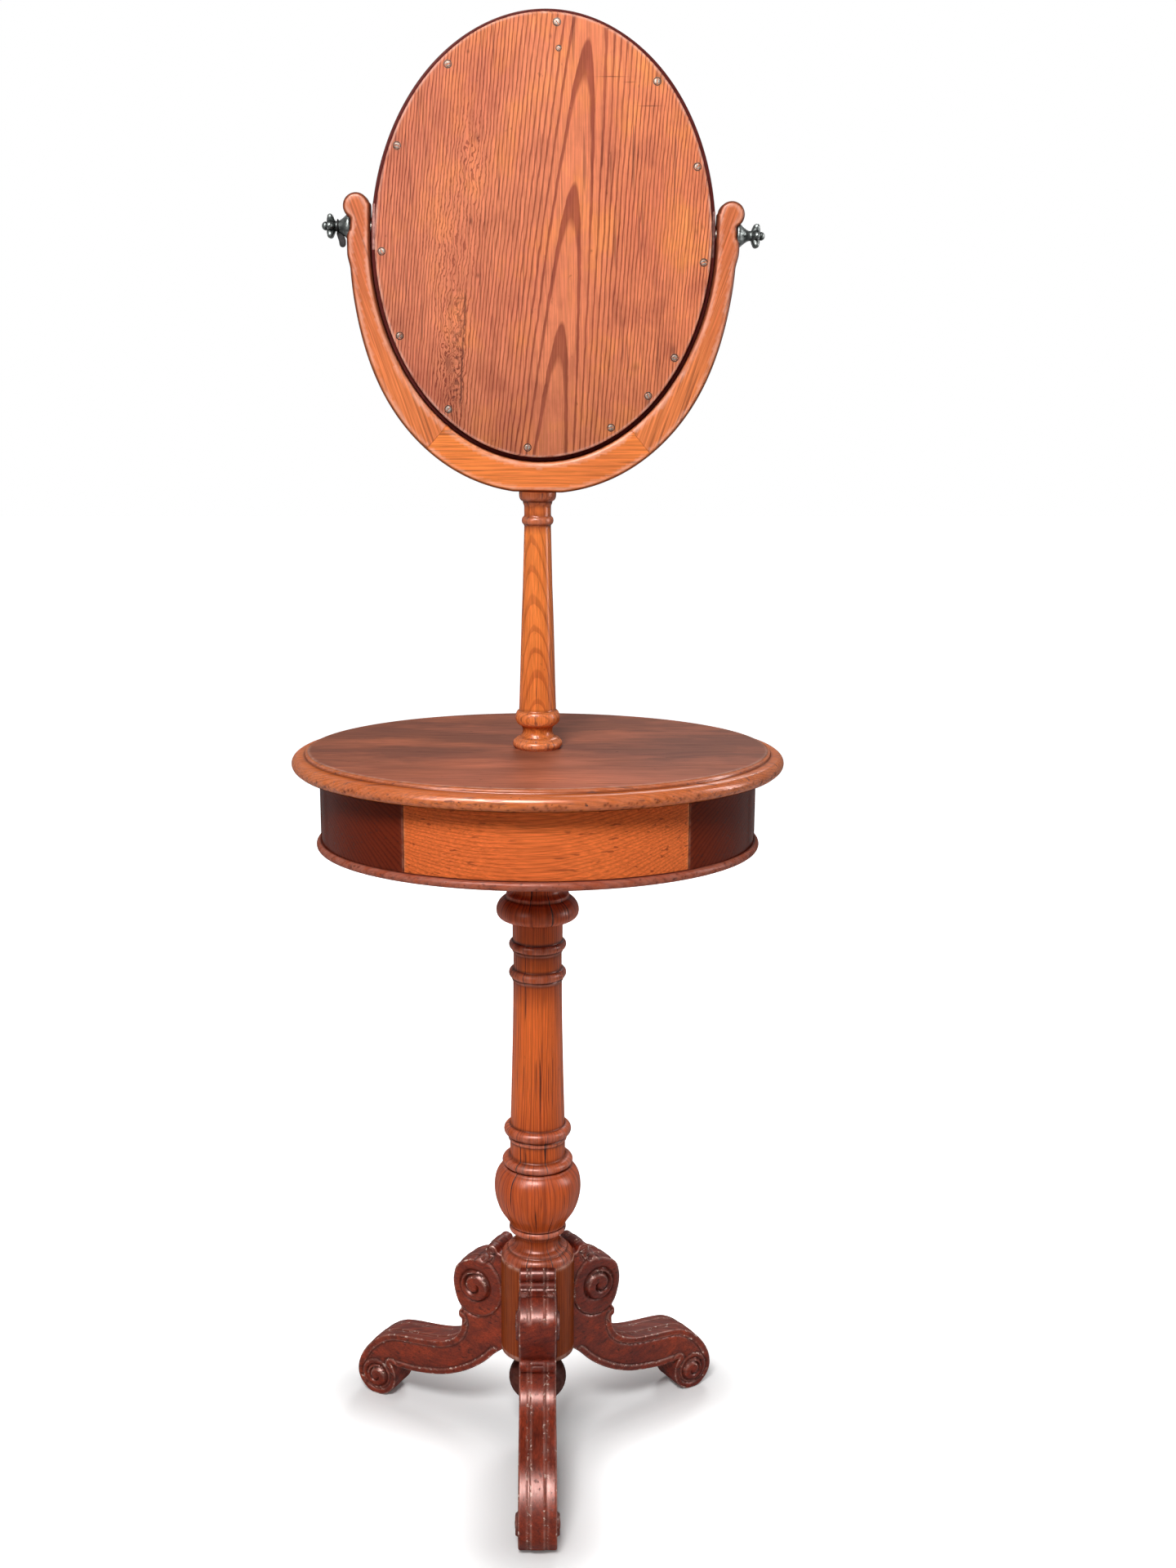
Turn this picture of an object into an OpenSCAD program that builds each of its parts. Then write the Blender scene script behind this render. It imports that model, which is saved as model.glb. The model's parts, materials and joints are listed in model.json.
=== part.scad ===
// Shaving stand: an oval table with a drawer, on a turned pillar with three
// scroll legs, and a swing mirror in a yoke on a turned post.
// Millimetres. The origin is on the floor, at the middle of the space that the
// stand takes up; +Z is up, the drawer opens towards -Y and the glass faces +Y.

/* [Table] */
// Height of the table surface above the floor
table_z = 816; // [780:1:860]
// Half width of the flat part of the top
flat_a = 243; // [230:1:255]
// Half depth of the flat part of the top
flat_b = 189.5; // [180:0.5:200]
// How far the moulded edge reaches past the flat
edge_out = 18; // [16:0.5:22]
// Thickness of the top board
top_t = 21; // [18:0.5:24]
// Step of the frieze in from the edge of the flat
frieze_in = 11; // [8:0.5:14]
// Height of the frieze
frieze_h = 76; // [70:1:84]
// Thickness of the curved frieze walls
wall_t = 18; // [14:0.5:20]
// Thickness of the base board, with its rounded bead
base_t = 9.5; // [8:0.5:12]
// How far the base board's bead stands proud of the frieze
bead_out = 5; // [3:0.5:7]
// Width of the square post inside the box
post_w = 70; // [60:1:76]
// Length of the bearer under the box
bearer_w = 250; // [220:5:280]
// Depth of the bearer from front to back
bearer_d = 84; // [74:1:96]
// Thickness of the bearer
bearer_t = 16; // [12:1:20]

/* [Drawer] */
// Left end of the drawer front, from the pillar's axis
front_left = 134; // [126:1:140]
// Right end of the drawer front, from the pillar's axis
front_right = 152; // [146:1:156]
// Gap round the drawer front
front_gap = 0.6; // [0.4:0.1:1]
// Thickness of the drawer's sides and back
side_t = 9; // [7:0.5:11]
// Height of the drawer's sides
side_h = 64; // [56:1:66]
// Thickness of the drawer's bottom
bottom_t = 5; // [4:0.5:7]
// Depth of the finger groove under the top edge of the drawer front
groove_depth = 6; // [4:0.5:8]

/* [Pillar and legs] */
// Radius of the turned drum that carries the legs
block_r = 41.5; // [38:0.5:45]
// Height of the drum's underside above the floor
block_z = 100; // [96:1:106]
// Height of the drum
block_h = 126; // [122:1:132]
// Radius of the pillar's shaft at its foot
pillar_r = 31; // [29:0.5:33]
// Distance of the centre of a foot scroll from the pillar's axis
leg_reach = 209.5; // [200:0.5:225]
// Radius of a foot scroll
foot_r = 27; // [24:0.5:29]
// How much is planed off a foot where it stands on the floor
foot_flat = 0.4; // [0.2:0.1:1]
// Width of a leg
leg_w = 41; // [36:0.5:46]
// How far the carved bosses stand out of a leg's sides
boss_out = 4; // [2:0.5:5]
// Turn of the two back legs from even spacing, degrees
back_leg_turn = 2; // [0:0.5:4]
// Radius of the dowels that hold the legs
leg_dowel_r = 5; // [4:0.5:6]

/* [Post and yoke] */
// Height of the upper post above the table
post_h = 269.5; // [240:0.5:300]
// Radius of the upper post's shaft at its foot
post_r = 19.5; // [18:0.5:21]
// Lean of the yoke and the mirror on the post, degrees
head_lean = 1.3; // [0:0.1:2]
// Thickness of the yoke from front to back
yoke_t = 24; // [20:0.5:28]
// Width of the yoke's arms
arm_w = 22; // [20:0.5:25]
// Height of the yoke's bow at the bottom
bow_w = 30.7; // [28:0.5:35]

/* [Mirror] */
// Half width of the mirror frame
mirror_a = 171; // [160:1:180]
// Half height of the mirror frame
mirror_b = 216.3; // [205:0.5:225]
// Gap between the mirror frame and the yoke
swing_gap = 2.5; // [2.2:0.1:3.5]
// Height of the pivots above the middle of the mirror
pivot_up = 9.5; // [7:0.5:12]
// Thickness of the back board
board_t = 8; // [6:0.5:9]
// How far the back board's edge lies in from the frame's edge
board_in = 3.5; // [2.5:0.5:5]
// Radius of the studs that the mirror turns on
stud_r = 3; // [2.5:0.1:3.5]
// Radius of the knobs' star heads
star_r = 12.8; // [11:0.1:14]

/* [Hidden] */
$fn = 64;

pine = [0.71, 0.33, 0.14];
worn_top = [0.52, 0.30, 0.20];
mahogany = [0.36, 0.12, 0.08];
plain_wood = [0.76, 0.60, 0.42];
rim_stain = [0.30, 0.09, 0.06];
pewter = [0.25, 0.26, 0.26];
steel = [0.55, 0.55, 0.53];
silvered = [0.80, 0.84, 0.86];

eps = 0.01;
oval_steps = 96;       // corners of each oval
moulding_steps = 72;   // corners of each moulded oval edge
glue_gap = 0.1;        // room for glue round a dowel or a tenon
running_gap = 0.05;    // radial clearance of a stud in its bore
face_gap = 0.3;        // clearance between faces that move past each other
slide_gap = 0.3;       // clearance over and beside the drawer

// The stand reaches further forward, at its foot, than back, at its table
origin_back = (leg_reach + foot_r - flat_b - edge_out) / 2;

top_under = table_z - top_t;
base_top = top_under - frieze_h;
base_under = base_top - base_t;
frieze_a = flat_a - frieze_in;
frieze_b = flat_b - frieze_in;
pillar_top = base_under - bearer_t;
block_top = block_z + block_h;

pillar_tenon_r = 17;
pillar_tenon_up = 34;   // length in the centre post
foot_tenon_r = 18;
foot_tenon_len = 30;
finial_tenon_r = 12;
finial_tenon_len = 24;
column_tenon_r = 11;
column_tenon_down = 26; // length in the centre post
yoke_tenon_r = 8;
yoke_tenon_len = 18;
seam_dowel_r = 4;
seam_dowel_len = 24;
leg_dowel_len = 40;
leg_dowel_in = 20;      // how deep a leg's dowel sits in the drum
leg_dowel_up = [50, 100];
glue_block_w = 44;
glue_block_t = 18;
glue_block_at = [[-182, 40], [182, 40], [-70, 132], [70, 132]];
stop_size = [28, 12, 14];
stop_off = 50;          // middle of a drawer stop, from the post's side
guide_w = 14;
guide_h = 20;
guide_len = 66;
guide_past = 6;         // how far a guide runs on past the drawer's back
tray_up = 5;            // height of the drawer's bottom in its sides

seat_z = table_z + post_h;
seat_trim = 1.5;        // flat cut on the yoke where it sits on the post
yoke_in_a = mirror_a + swing_gap;
yoke_in_b = mirror_b + swing_gap;
yoke_out_a = yoke_in_a + arm_w;
yoke_out_b = yoke_in_b + bow_w;
fullness = 2.12;        // 2 would be an ellipse
mirror_up = yoke_out_b - seat_trim;  // middle of the mirror above the seat

frame_back = -6;
frame_front = 14;
frame_w = 26;
rebate_w = 19;
glass_t = 3;
glass_back = 1;
frame_round = 9;        // depth of the rounded moulding on the frame's front
plate_t = 2.5;
plate_size = [13, 44];
plate_face = mirror_a - 0.7;
knob_seat = yoke_out_a - 2.7;
bell_r = 11.5;
neck_r = 4.4;
neck_at = [10.5, 12];   // the knob's neck, from the bell's foot
wing_tip = [7.2, 19];   // from the bell's foot, and below the knob's axis
wing_r = 3;
back_screw_angles = [87, 127, 48, 155, 21, 184, 355, 208, 327, 235, 313, 297, 266];
screw_head_r = 3.6;
screw_r = 1.6;
screw_bite = 12;        // how far the back board's screws go into the frame
screw_ring = 0.94;      // their place, as a share of the frame's half sizes
mid_screw_at = [10.7, 37];  // the odd screw: off the middle, and below the frame's top
small_head_r = 2.4;
small_screw_r = 1.1;
plate_screw_len = 12;
plate_screw_off = 15;   // from the pivot, up and down

function oval(a, b, n = oval_steps) = [for (i = [0:n - 1]) let (t = 360 * i / n) [a * cos(t), b * sin(t)]];
function arc(c, rx, ry, from, to, n = 10) =
  [for (i = [0:n]) let (t = from + (to - from) * i / n) [c.x + rx * cos(t), c.y + ry * sin(t)]];
function bezier(p0, p1, p2, p3, n = 8) = [for (i = [0:n]) let (t = i / n, u = 1 - t)
  u * u * u * p0 + 3 * u * u * t * p1 + 3 * u * t * t * p2 + t * t * t * p3];
function full_oval_x(a, b, z) = a * pow(1 - pow(min(abs(z) / b, 1), fullness), 1 / fullness);

// Moves a piece from the pillar's axis to its place about the origin
module placed() translate([0, origin_back, 0]) children();

// A turned ring: half of a round seen from the side, between two heights
function turned_ring(r, out, z0, z1, n = 6) = [for (i = [0:n]) let (t = -90 + 180 * i / n)
  [r + out * cos(t), (z0 + z1) / 2 + (z1 - z0) / 2 * sin(t)]];

module turned(profile) rotate_extrude($fn = 96) polygon(profile);

// Oval board whose edge follows a profile of [reach past a and b, height] points
module oval_board(a, b, edge, n = moulding_steps) {
  rings = len(edge);
  points = [for (e = edge) for (p = oval(a + e[0], b + e[0], n)) [p.x, p.y, e[1]]];
  sides = [for (k = [0:rings - 2]) for (i = [0:n - 1]) let (j = (i + 1) % n)
    each [[k * n + i, (k + 1) * n + i, k * n + j], [k * n + j, (k + 1) * n + i, (k + 1) * n + j]]];
  bottom = [for (i = [1:n - 2]) [0, i, i + 1]];
  top = [for (i = [1:n - 2]) [0, i + 1, i] + [1, 1, 1] * (rings - 1) * n];
  polyhedron(points, concat(sides, bottom, top));
}

// Ring of an oval frame whose section is a closed list of [reach past a and b, height]
module oval_ring(a, b, section, n = moulding_steps) {
  m = len(section);
  points = [for (i = [0:n - 1]) for (s = section)
    [(a + s[0]) * cos(360 * i / n), (b + s[0]) * sin(360 * i / n), s[1]]];
  faces = [for (i = [0:n - 1]) for (k = [0:m - 1])
    let (i1 = (i + 1) % n, k1 = (k + 1) % m)
    each [[i * m + k, i * m + k1, i1 * m + k], [i * m + k1, i1 * m + k1, i1 * m + k]]];
  polyhedron(points, faces);
}

module oval_prism(a, b, z0, z1) translate([0, 0, z0]) linear_extrude(z1 - z0) polygon(oval(a, b));

module peg(r, z0, z1) translate([0, 0, z0]) cylinder(r = r, h = z1 - z0);

module wood_screw(len, head_r = screw_head_r, r = screw_r) {
  translate([0, 0, -len]) cylinder(r = r, h = len);
  translate([0, 0, -head_r + r]) cylinder(r1 = r, r2 = head_r, h = head_r - r);
}

// ---------------------------------------------------------------- foot

module pendant_finial() color(mahogany) {
  drop = 56;
  top = block_z;
  turned(concat([[0, top - drop]],
    arc([0, top - 27], 33, 29, -80, 50, 12),
    [[20, top - 4], [23, top - 4], [23, top], [finial_tenon_r, top],
     [finial_tenon_r, top + finial_tenon_len], [0, top + finial_tenon_len]]));
}

module leg_block() color(pine) difference() {
  turned(concat([[0, block_z], [block_r - 9, block_z]],
    arc([block_r - 6, block_z + 7], 6, 6, -70, 0, 4),
    [[block_r, block_top], [0, block_top]]));
  peg(foot_tenon_r + glue_gap, block_top - foot_tenon_len - 1, block_top + 1);
  peg(finial_tenon_r + glue_gap, block_z - 1, block_z + finial_tenon_len + 1);
  for (turn = leg_turns()) rotate(turn) leg_dowel_pair(glue_gap);
}

function leg_turns() = [-90, 150 + back_leg_turn, 30 + back_leg_turn];

// Side outline of a leg: x is the distance from the pillar's axis, y the height
function leg_outline() =
  let (foot = [leg_reach, foot_r - foot_flat], volute = [block_r + 28.5, block_z + 78],
       scroll = [block_r + 8.5, block_top + 7.5], bend = [leg_reach - 75, block_z - 53],
       run = [leg_reach - 27, foot_r + 60], waist = [volute.x + 20.5, volute.y - 47])
  concat(
    bezier([block_r - 3, block_z + 8], [block_r + 17, block_z - 22], bend + [-39, 6], bend),
    bezier(bend, bend + [16, -2.5], foot + [-44, 15], foot + [-20, 18], 5),
    arc(foot, foot_r, foot_r, 140, 360, 18),
    bezier(foot + [foot_r, 0], foot + [foot_r, 25], run + [25.5, -4], run, 10),
    bezier(run, run + [-18, 3], run + [-42, 3], run + [-60, 7.5], 5),
    bezier(run + [-60, 7.5], run + [-82, 13], waist + [-0.5, -19], waist, 6),
    [waist + [4, 2], waist + [4, 9]],
    arc(volute, 34.6, 41, -52, 106, 16),
    arc(scroll, 8, 8, -60, 175, 9),
    [[block_r - 3, block_top + 6]]);

module leg_dowel_pair(gap = 0) for (h = leg_dowel_up)
  translate([block_r - leg_dowel_in - gap, 0, block_z + h]) rotate([0, 90, 0])
    cylinder(r = leg_dowel_r + gap, h = leg_dowel_len + 2 * gap);

module leg(turn) color(mahogany) rotate(turn) difference() {
  union() {
    rotate([90, 0, 0]) translate([0, 0, -leg_w / 2]) linear_extrude(leg_w) polygon(leg_outline());
    for (side = [-1, 1]) {
      boss([block_r + 30, block_z + 79], 17, 0.55, side);
      boss([leg_reach - 1, foot_r - 2], 14.5, 0.5, side);
    }
  }
  peg(block_r, block_z - 20, block_top + 20);
  translate([0, -leg_w, -10]) cube([leg_reach + 60, 2 * leg_w, 10]);
  leg_dowel_pair(glue_gap);
}

// Round carved boss, in two steps, on one side of a leg
module boss(at, r, core, side) translate([at.x, side * (leg_w / 2 - eps), at.y]) rotate([-90 * side, 0, 0]) {
  cylinder(r = r, h = boss_out / 2 + eps);
  cylinder(r = r * core, h = boss_out + eps);
}

module leg_dowels() color(plain_wood) for (turn = leg_turns()) rotate(turn) leg_dowel_pair();

// ---------------------------------------------------------------- pillar

module pillar() color(pine) {
  b = block_top;
  t = pillar_top;
  r = pillar_r;
  turned(concat(
    [[0, b - foot_tenon_len], [foot_tenon_r, b - foot_tenon_len], [foot_tenon_r, b], [block_r, b]],
    arc([block_r - 8, b + 1], 8, 8, 0, 70, 5),
    [[r + 3.5, b + 10.5], [r + 3.5, b + 12.5], [r + 2, b + 13]],
    arc([r + 1, b + 22], 7.5, 9, 260, 100, 8),
    turned_ring(r - 2.5, 4.5, b + 31, b + 41),
    arc([r + 0.5, b + 86], 17.3, 44.5, -86, 28, 14),
    [[r + 11, b + 111]],
    turned_ring(r + 3, 6, b + 111, b + 130),
    [[r + 1.5, b + 131.5], [r + 0.8, b + 138], [r + 1.2, b + 142.5]],
    turned_ring(r + 2.5, 5, b + 143, b + 168),
    [[r + 0.2, b + 170], [r, b + 180], [r - 1, b + 209], [r - 2.2, b + 243], [r - 2.8, b + 285],
     [r - 3.2, t - 142]],
    turned_ring(r - 2.2, 3.5, t - 137, t - 120),
    [[r - 3.8, t - 118], [r - 3.8, t - 104]],
    turned_ring(r - 2.2, 3.4, t - 102.5, t - 89),
    [[r - 3, t - 87], [r - 3, t - 78.5], [r + 3, t - 78]],
    arc([r + 0.7, t - 58.5], 14, 19, -80, 80, 12),
    [[r + 4.5, t - 39], [r + 4.5, t - 36], [r - 2, t - 34]],
    arc([r + 15, t - 26], 17, 16, 190, 110, 8),
    [[r + 15, t - 9]],
    [[r + 15, t], [pillar_tenon_r, t], [pillar_tenon_r, base_top + pillar_tenon_up],
     [0, base_top + pillar_tenon_up]]));
}

module bearer() color(pine) difference() {
  translate([-bearer_w / 2, -bearer_d / 2, pillar_top])
    cube([bearer_w, bearer_d, bearer_t]);
  peg(pillar_tenon_r + glue_gap, pillar_top - 1, base_under + 1);
  bearer_screw_set(0.02);
}

// Four screws from below, through the bearer into the base board
module bearer_screw_set(gap = 0) for (x = [-1, 1], y = [-1, 1])
  translate([x * (bearer_w / 2 - 22), y * (bearer_d / 2 - 16), pillar_top - gap])
    mirror([0, 0, 1]) wood_screw(bearer_t + base_t * 0.7 + gap, screw_head_r + gap, screw_r + gap);

module bearer_screws() color(steel) bearer_screw_set();

// ---------------------------------------------------------------- box

function bead_profile() = concat([for (t = [-90:30:90])
  [bead_out - base_t / 2 + base_t / 2 * cos(t), base_under + base_t / 2 * (1 + sin(t))]]);

module base_board() color(pine) difference() {
  oval_board(frieze_a, frieze_b, bead_profile());
  peg(pillar_tenon_r + glue_gap, base_under - 1, base_top + 1);
  bearer_screw_set(0.02);
}

module centre_post() color(plain_wood) difference() {
  translate([-post_w / 2, -post_w / 2, base_top]) cube([post_w, post_w, frieze_h]);
  peg(pillar_tenon_r + glue_gap, base_top - 1, base_top + pillar_tenon_up + 1);
  peg(column_tenon_r + glue_gap, top_under - column_tenon_down - 1, top_under + 1);
}

module frieze_ring() difference() {
  oval_prism(frieze_a, frieze_b, base_top, top_under);
  oval_prism(frieze_a - wall_t, frieze_b - wall_t, base_top - 1, top_under + 1);
}

back_seam = 140;   // x of the joints at the back of the frieze

// Keeps what lies between two x values on the front (-1) or back (+1) half
module band(x0, x1, half) translate([x0, half > 0 ? 0 : -300, base_top - 5])
  cube([x1 - x0, 300, frieze_h + 10]);

module frieze_left() color(pine) difference() {
  frieze_ring();
  band(-front_left, 400, -1);
  band(-back_seam, 400, 1);
}

module frieze_right() color(pine) difference() {
  frieze_ring();
  band(-400, front_right, -1);
  band(-400, back_seam, 1);
}

module frieze_back() color(pine) intersection() {
  frieze_ring();
  band(-back_seam, back_seam, 1);
}

// Blocks glued in the corner under the top, at four places inside the walls
module glue_blocks() color(plain_wood) intersection() {
  oval_prism(frieze_a - wall_t, frieze_b - wall_t, top_under - glue_block_t, top_under);
  union() for (at = glue_block_at)
    translate([at.x - glue_block_w / 2, at.y - glue_block_w / 2, top_under - glue_block_t])
      cube([glue_block_w, glue_block_w, glue_block_t]);
}

function top_edge() = let (z = top_under, t = top_t, e = edge_out) concat(
  [[e - 12, z]],
  arc([e - 8.5, z + 8], 8.5, 8, -75, 75, 8),
  [[5, z + t - 4.5], [4, z + t - 4.5], [3.4, z + t - 1.6], [1.6, z + t - 1.2],
   [0.4, z + t - 0.2], [0, z + t]]);

module table_top() color(worn_top) difference() {
  oval_board(flat_a, flat_b, top_edge());
  peg(column_tenon_r + glue_gap, top_under - 1, table_z + 1);
}

// ---------------------------------------------------------------- drawer

drawer_z = base_top + slide_gap;
side_back = -post_w / 2 - 5;
side_front = -frieze_b;
left_x = -front_left + 4;
right_x = front_right - 4;

module inside_front() oval_prism(frieze_a - wall_t, frieze_b - wall_t, base_top - 1, top_under + 1);

module drawer_front() color(pine) difference() {
  intersection() {
    frieze_ring();
    translate([-front_left + front_gap, -300, base_top + front_gap])
      cube([front_left + front_right - 2 * front_gap, 300, frieze_h - 2 * front_gap]);
  }
  translate([-55, -frieze_b + groove_depth - 30, top_under - front_gap - 5]) cube([110, 30, 10]);
}

module drawer_side(x) intersection() {
  translate([x, side_front, drawer_z]) cube([side_t, side_back - side_front, side_h]);
  inside_front();
}

module drawer_left_side() color(plain_wood) drawer_side(left_x);
module drawer_right_side() color(plain_wood) drawer_side(right_x - side_t);

module drawer_back() color(plain_wood)
  translate([left_x + side_t, side_back - side_t, drawer_z + tray_up + bottom_t])
    cube([right_x - left_x - 2 * side_t, side_t, side_h - 2 * tray_up - bottom_t]);

module drawer_bottom() color(plain_wood) intersection() {
  translate([left_x + side_t, side_front, drawer_z + tray_up])
    cube([right_x - left_x - 2 * side_t, side_back - side_front, bottom_t]);
  inside_front();
}

module drawer_guides() color(plain_wood) for (x = [left_x - slide_gap - guide_w, right_x + slide_gap])
  translate([x, side_back - guide_len + guide_past, base_top]) cube([guide_w, guide_len, guide_h]);

module drawer_stops() color(plain_wood) for (side = [-1, 1])
  translate([side * (post_w / 2 + stop_off) - stop_size.x / 2, side_back + slide_gap, base_top])
    cube(stop_size);

// ---------------------------------------------------------------- post

module upper_column() color(pine) {
  difference() {
    turned(post_profile());
    in_head() translate([-60, -60, 0]) cube([120, 120, 40]);
  }
  in_head() peg(yoke_tenon_r, -2, yoke_tenon_len);
}

function post_profile() =
  let (b = table_z, t = seat_z, r = post_r) concat(
    [[0, top_under - column_tenon_down], [column_tenon_r, top_under - column_tenon_down],
     [column_tenon_r, b], [r + 4.5, b]],
    arc([r + 1.7, b + 5], 5, 5, -60, 75, 6),
    [[r + 3, b + 11], [r - 1.3, b + 12]],
    arc([r + 1.5, b + 19], 5.5, 7, 235, 125, 6),
    [[r - 0.4, b + 25]],
    turned_ring(r, 4, b + 25.5, b + 41),
    [[r, b + 43], [r - 1, b + 75], [r - 1.9, b + 110], [r - 2.8, b + 140], [r - 4, b + 172],
     [r - 5.6, t - 35]],
    turned_ring(r - 5, 2, t - 33.5, t - 25.5),
    [[r - 5.6, t - 24.5], [r - 5.6, t - 14], [r - 4.3, t - 12], [r - 4.3, t - 10]],
    turned_ring(r - 4.3, 4, t - 9.7, t + 3, 8),
    [[0, t + 3]]);

// Moves a piece from the yoke's own frame, with its origin on the seat, into place
module in_head() translate([0, 0, seat_z]) rotate([0, head_lean, 0]) children();

// ---------------------------------------------------------------- yoke

arm_top_r = 13;
arm_top = [yoke_in_a + arm_top_r, 29];
seam_turn = -56;        // place of the glued joint along the yoke's middle line
seam_at = [(yoke_in_a + arm_w / 2) * cos(seam_turn), (yoke_in_b + bow_w / 2) * sin(seam_turn)];
seam_angle = -49;

// Front view of the yoke about the mirror's middle
module yoke_outline() {
  levels = [for (i = [0:40]) -90 + i * 90 / 40];
  outer = [for (t = levels) let (z = yoke_out_b * sin(t)) [full_oval_x(yoke_out_a, yoke_out_b, z), z]];
  inner = [for (i = [40:-1:0]) let (t = levels[i]) [yoke_in_a * cos(t), yoke_in_b * sin(t)]];
  top = [[yoke_out_a - 4.5, arm_top.y - 9], arm_top, [yoke_in_a, arm_top.y]];
  half = concat(outer, top, inner);
  for (side = [0, 1]) mirror([side, 0]) {
    polygon(half);
    translate(arm_top) circle(r = arm_top_r);
  }
}

// What lies beyond the glued joint on the right
module beyond_seam() translate(seam_at) rotate(seam_angle) translate([-260, 0]) square([420, 420]);

module in_mirror() in_head() translate([0, 0, mirror_up]) children();

module yoke_slab(t) rotate([90, 0, 0]) translate([0, 0, -t / 2]) linear_extrude(t) children();

module pivot_axis(side) translate([0, 0, pivot_up]) rotate([0, side * 90, 0]) children();

module seam_dowel(side, gap = 0) mirror([side < 0 ? 1 : 0, 0, 0])
  translate([seam_at.x, 0, seam_at.y]) rotate([0, -seam_angle, 0])
    peg(seam_dowel_r + gap, -seam_dowel_len / 2 - gap, seam_dowel_len / 2 + gap);

module yoke_arm(side) color(pine) in_mirror() difference() {
  yoke_slab(yoke_t) mirror([side < 0 ? 1 : 0, 0]) intersection() {
    yoke_outline();
    beyond_seam();
  }
  pivot_axis(side) translate([0, 0, yoke_in_a - 5]) cylinder(r = stud_r + running_gap, h = arm_w + 20);
  pivot_axis(side) translate([0, 0, knob_seat - face_gap]) cylinder(r = bell_r + 1, h = 20);
  seam_dowel(side, glue_gap);
}

module yoke_left_arm() yoke_arm(-1);
module yoke_right_arm() yoke_arm(1);

module yoke_bow() color(pine) difference() {
  in_mirror() difference() {
    yoke_slab(yoke_t) difference() {
      yoke_outline();
      beyond_seam();
      mirror([1, 0]) beyond_seam();
    }
    for (side = [-1, 1]) seam_dowel(side, glue_gap);
  }
  in_head() translate([-80, -80, -40]) cube([160, 160, 40]);
  in_head() peg(yoke_tenon_r + glue_gap, -1, yoke_tenon_len + glue_gap);
}

module yoke_joint_dowels() color(plain_wood) in_mirror() for (side = [-1, 1]) seam_dowel(side);

// ---------------------------------------------------------------- mirror

module facing(y0, y1, a, b) translate([0, y1, 0]) rotate([90, 0, 0]) linear_extrude(y1 - y0) polygon(oval(a, b));

module back_screw_set(gap = 0) translate([0, frame_back - board_t - gap, 0]) {
  for (t = back_screw_angles)
    translate([mirror_a * screw_ring * cos(t), 0, mirror_b * screw_ring * sin(t)])
      rotate([90, 0, 0]) wood_screw(board_t + screw_bite + gap, screw_head_r + gap, screw_r + gap);
  translate([mid_screw_at.x, 0, mirror_b - mid_screw_at.y]) rotate([90, 0, 0])
    wood_screw(board_t - 1 + gap, small_head_r + gap, small_screw_r + gap);
}

module frame_body() {
  difference() {
    facing(frame_back, frame_front - frame_round, mirror_a, mirror_b);
    facing(frame_back - 1, frame_front, mirror_a - frame_w, mirror_b - frame_w);
    facing(frame_back - 1, glass_back + glass_t, mirror_a - rebate_w, mirror_b - rebate_w);
  }
  front = frame_front - frame_round;
  section = concat([[0, front - 1]], arc([-9, front], 9, frame_round - 1, 0, 90, 5),
    [[-13, frame_front], [-16, frame_front], [-18, frame_front - 3],
     [-frame_w, front + 1.5], [-frame_w, front - 1]]);
  mirror([0, 1, 0]) rotate([90, 0, 0]) oval_ring(mirror_a, mirror_b, section);
}

module mirror_frame() color(rim_stain) in_mirror() difference() {
  frame_body();
  for (side = [-1, 1]) {
    pivot_axis(side) translate([0, 0, mirror_a - 15]) cylinder(r = stud_r + running_gap, h = 30);
    plate_space(side);
    plate_screw_pair(side, 0.02);
  }
  back_screw_set(0.02);
}

// Recess for a pivot plate in the frame's edge, open to the outside
module plate_space(side) translate([side * (plate_face - plate_t), 0, pivot_up])
  mirror([side < 0 ? 1 : 0, 0, 0]) translate([0, -plate_size.x / 2, -plate_size.y / 2])
    cube([10, plate_size.x, plate_size.y]);

module plate_screw_pair(side, gap = 0) for (up = [-1, 1])
  translate([side * (plate_face + gap), 0, pivot_up + up * plate_screw_off]) rotate([0, side * 90, 0])
    wood_screw(plate_screw_len + gap, small_head_r + gap, small_screw_r + gap);

module pivot_plate(side) color(steel) in_mirror() difference() {
  intersection() {
    plate_space(side);
    translate([-plate_face, -50, -100]) cube([2 * plate_face, 100, 200]);
  }
  pivot_axis(side) translate([0, 0, plate_face - 20]) cylinder(r = stud_r + running_gap, h = 40);
  plate_screw_pair(side, 0.02);
}

module left_pivot_plate() pivot_plate(-1);
module right_pivot_plate() pivot_plate(1);

module pivot_plate_screws() color(steel) in_mirror() for (side = [-1, 1]) plate_screw_pair(side);

module mirror_glass() color(silvered) in_mirror()
  facing(glass_back, glass_back + glass_t, mirror_a - rebate_w - 0.5, mirror_b - rebate_w - 0.5);

// Blocks that press the glass into its rebate, under the back board
module glass_packing() color(plain_wood) in_mirror() intersection() {
  facing(frame_back, glass_back, mirror_a - rebate_w, mirror_b - rebate_w);
  for (t = [30:60:330]) translate([(mirror_a - rebate_w) * cos(t), 0, (mirror_b - rebate_w) * sin(t)])
    cube([24, 40, 24], center = true);
}

module mirror_backboard() color(pine) in_mirror() difference() {
  facing(frame_back - board_t, frame_back, mirror_a - board_in, mirror_b - board_in);
  back_screw_set(0.02);
}

module backboard_screws() color(steel) in_mirror() back_screw_set();

// ---------------------------------------------------------------- knobs

module washer(side) color(steel) in_mirror() pivot_axis(side)
  translate([0, 0, plate_face + face_gap]) difference() {
    cylinder(r = 5.5, h = yoke_in_a - plate_face - 2 * face_gap);
    translate([0, 0, -1]) cylinder(r = stud_r + running_gap, h = 10);
  }

module left_washer() washer(-1);
module right_washer() washer(1);

stud_in = 13;     // length of the stud inside the frame
stud_out = 12;    // length of the stud inside the knob

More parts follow.
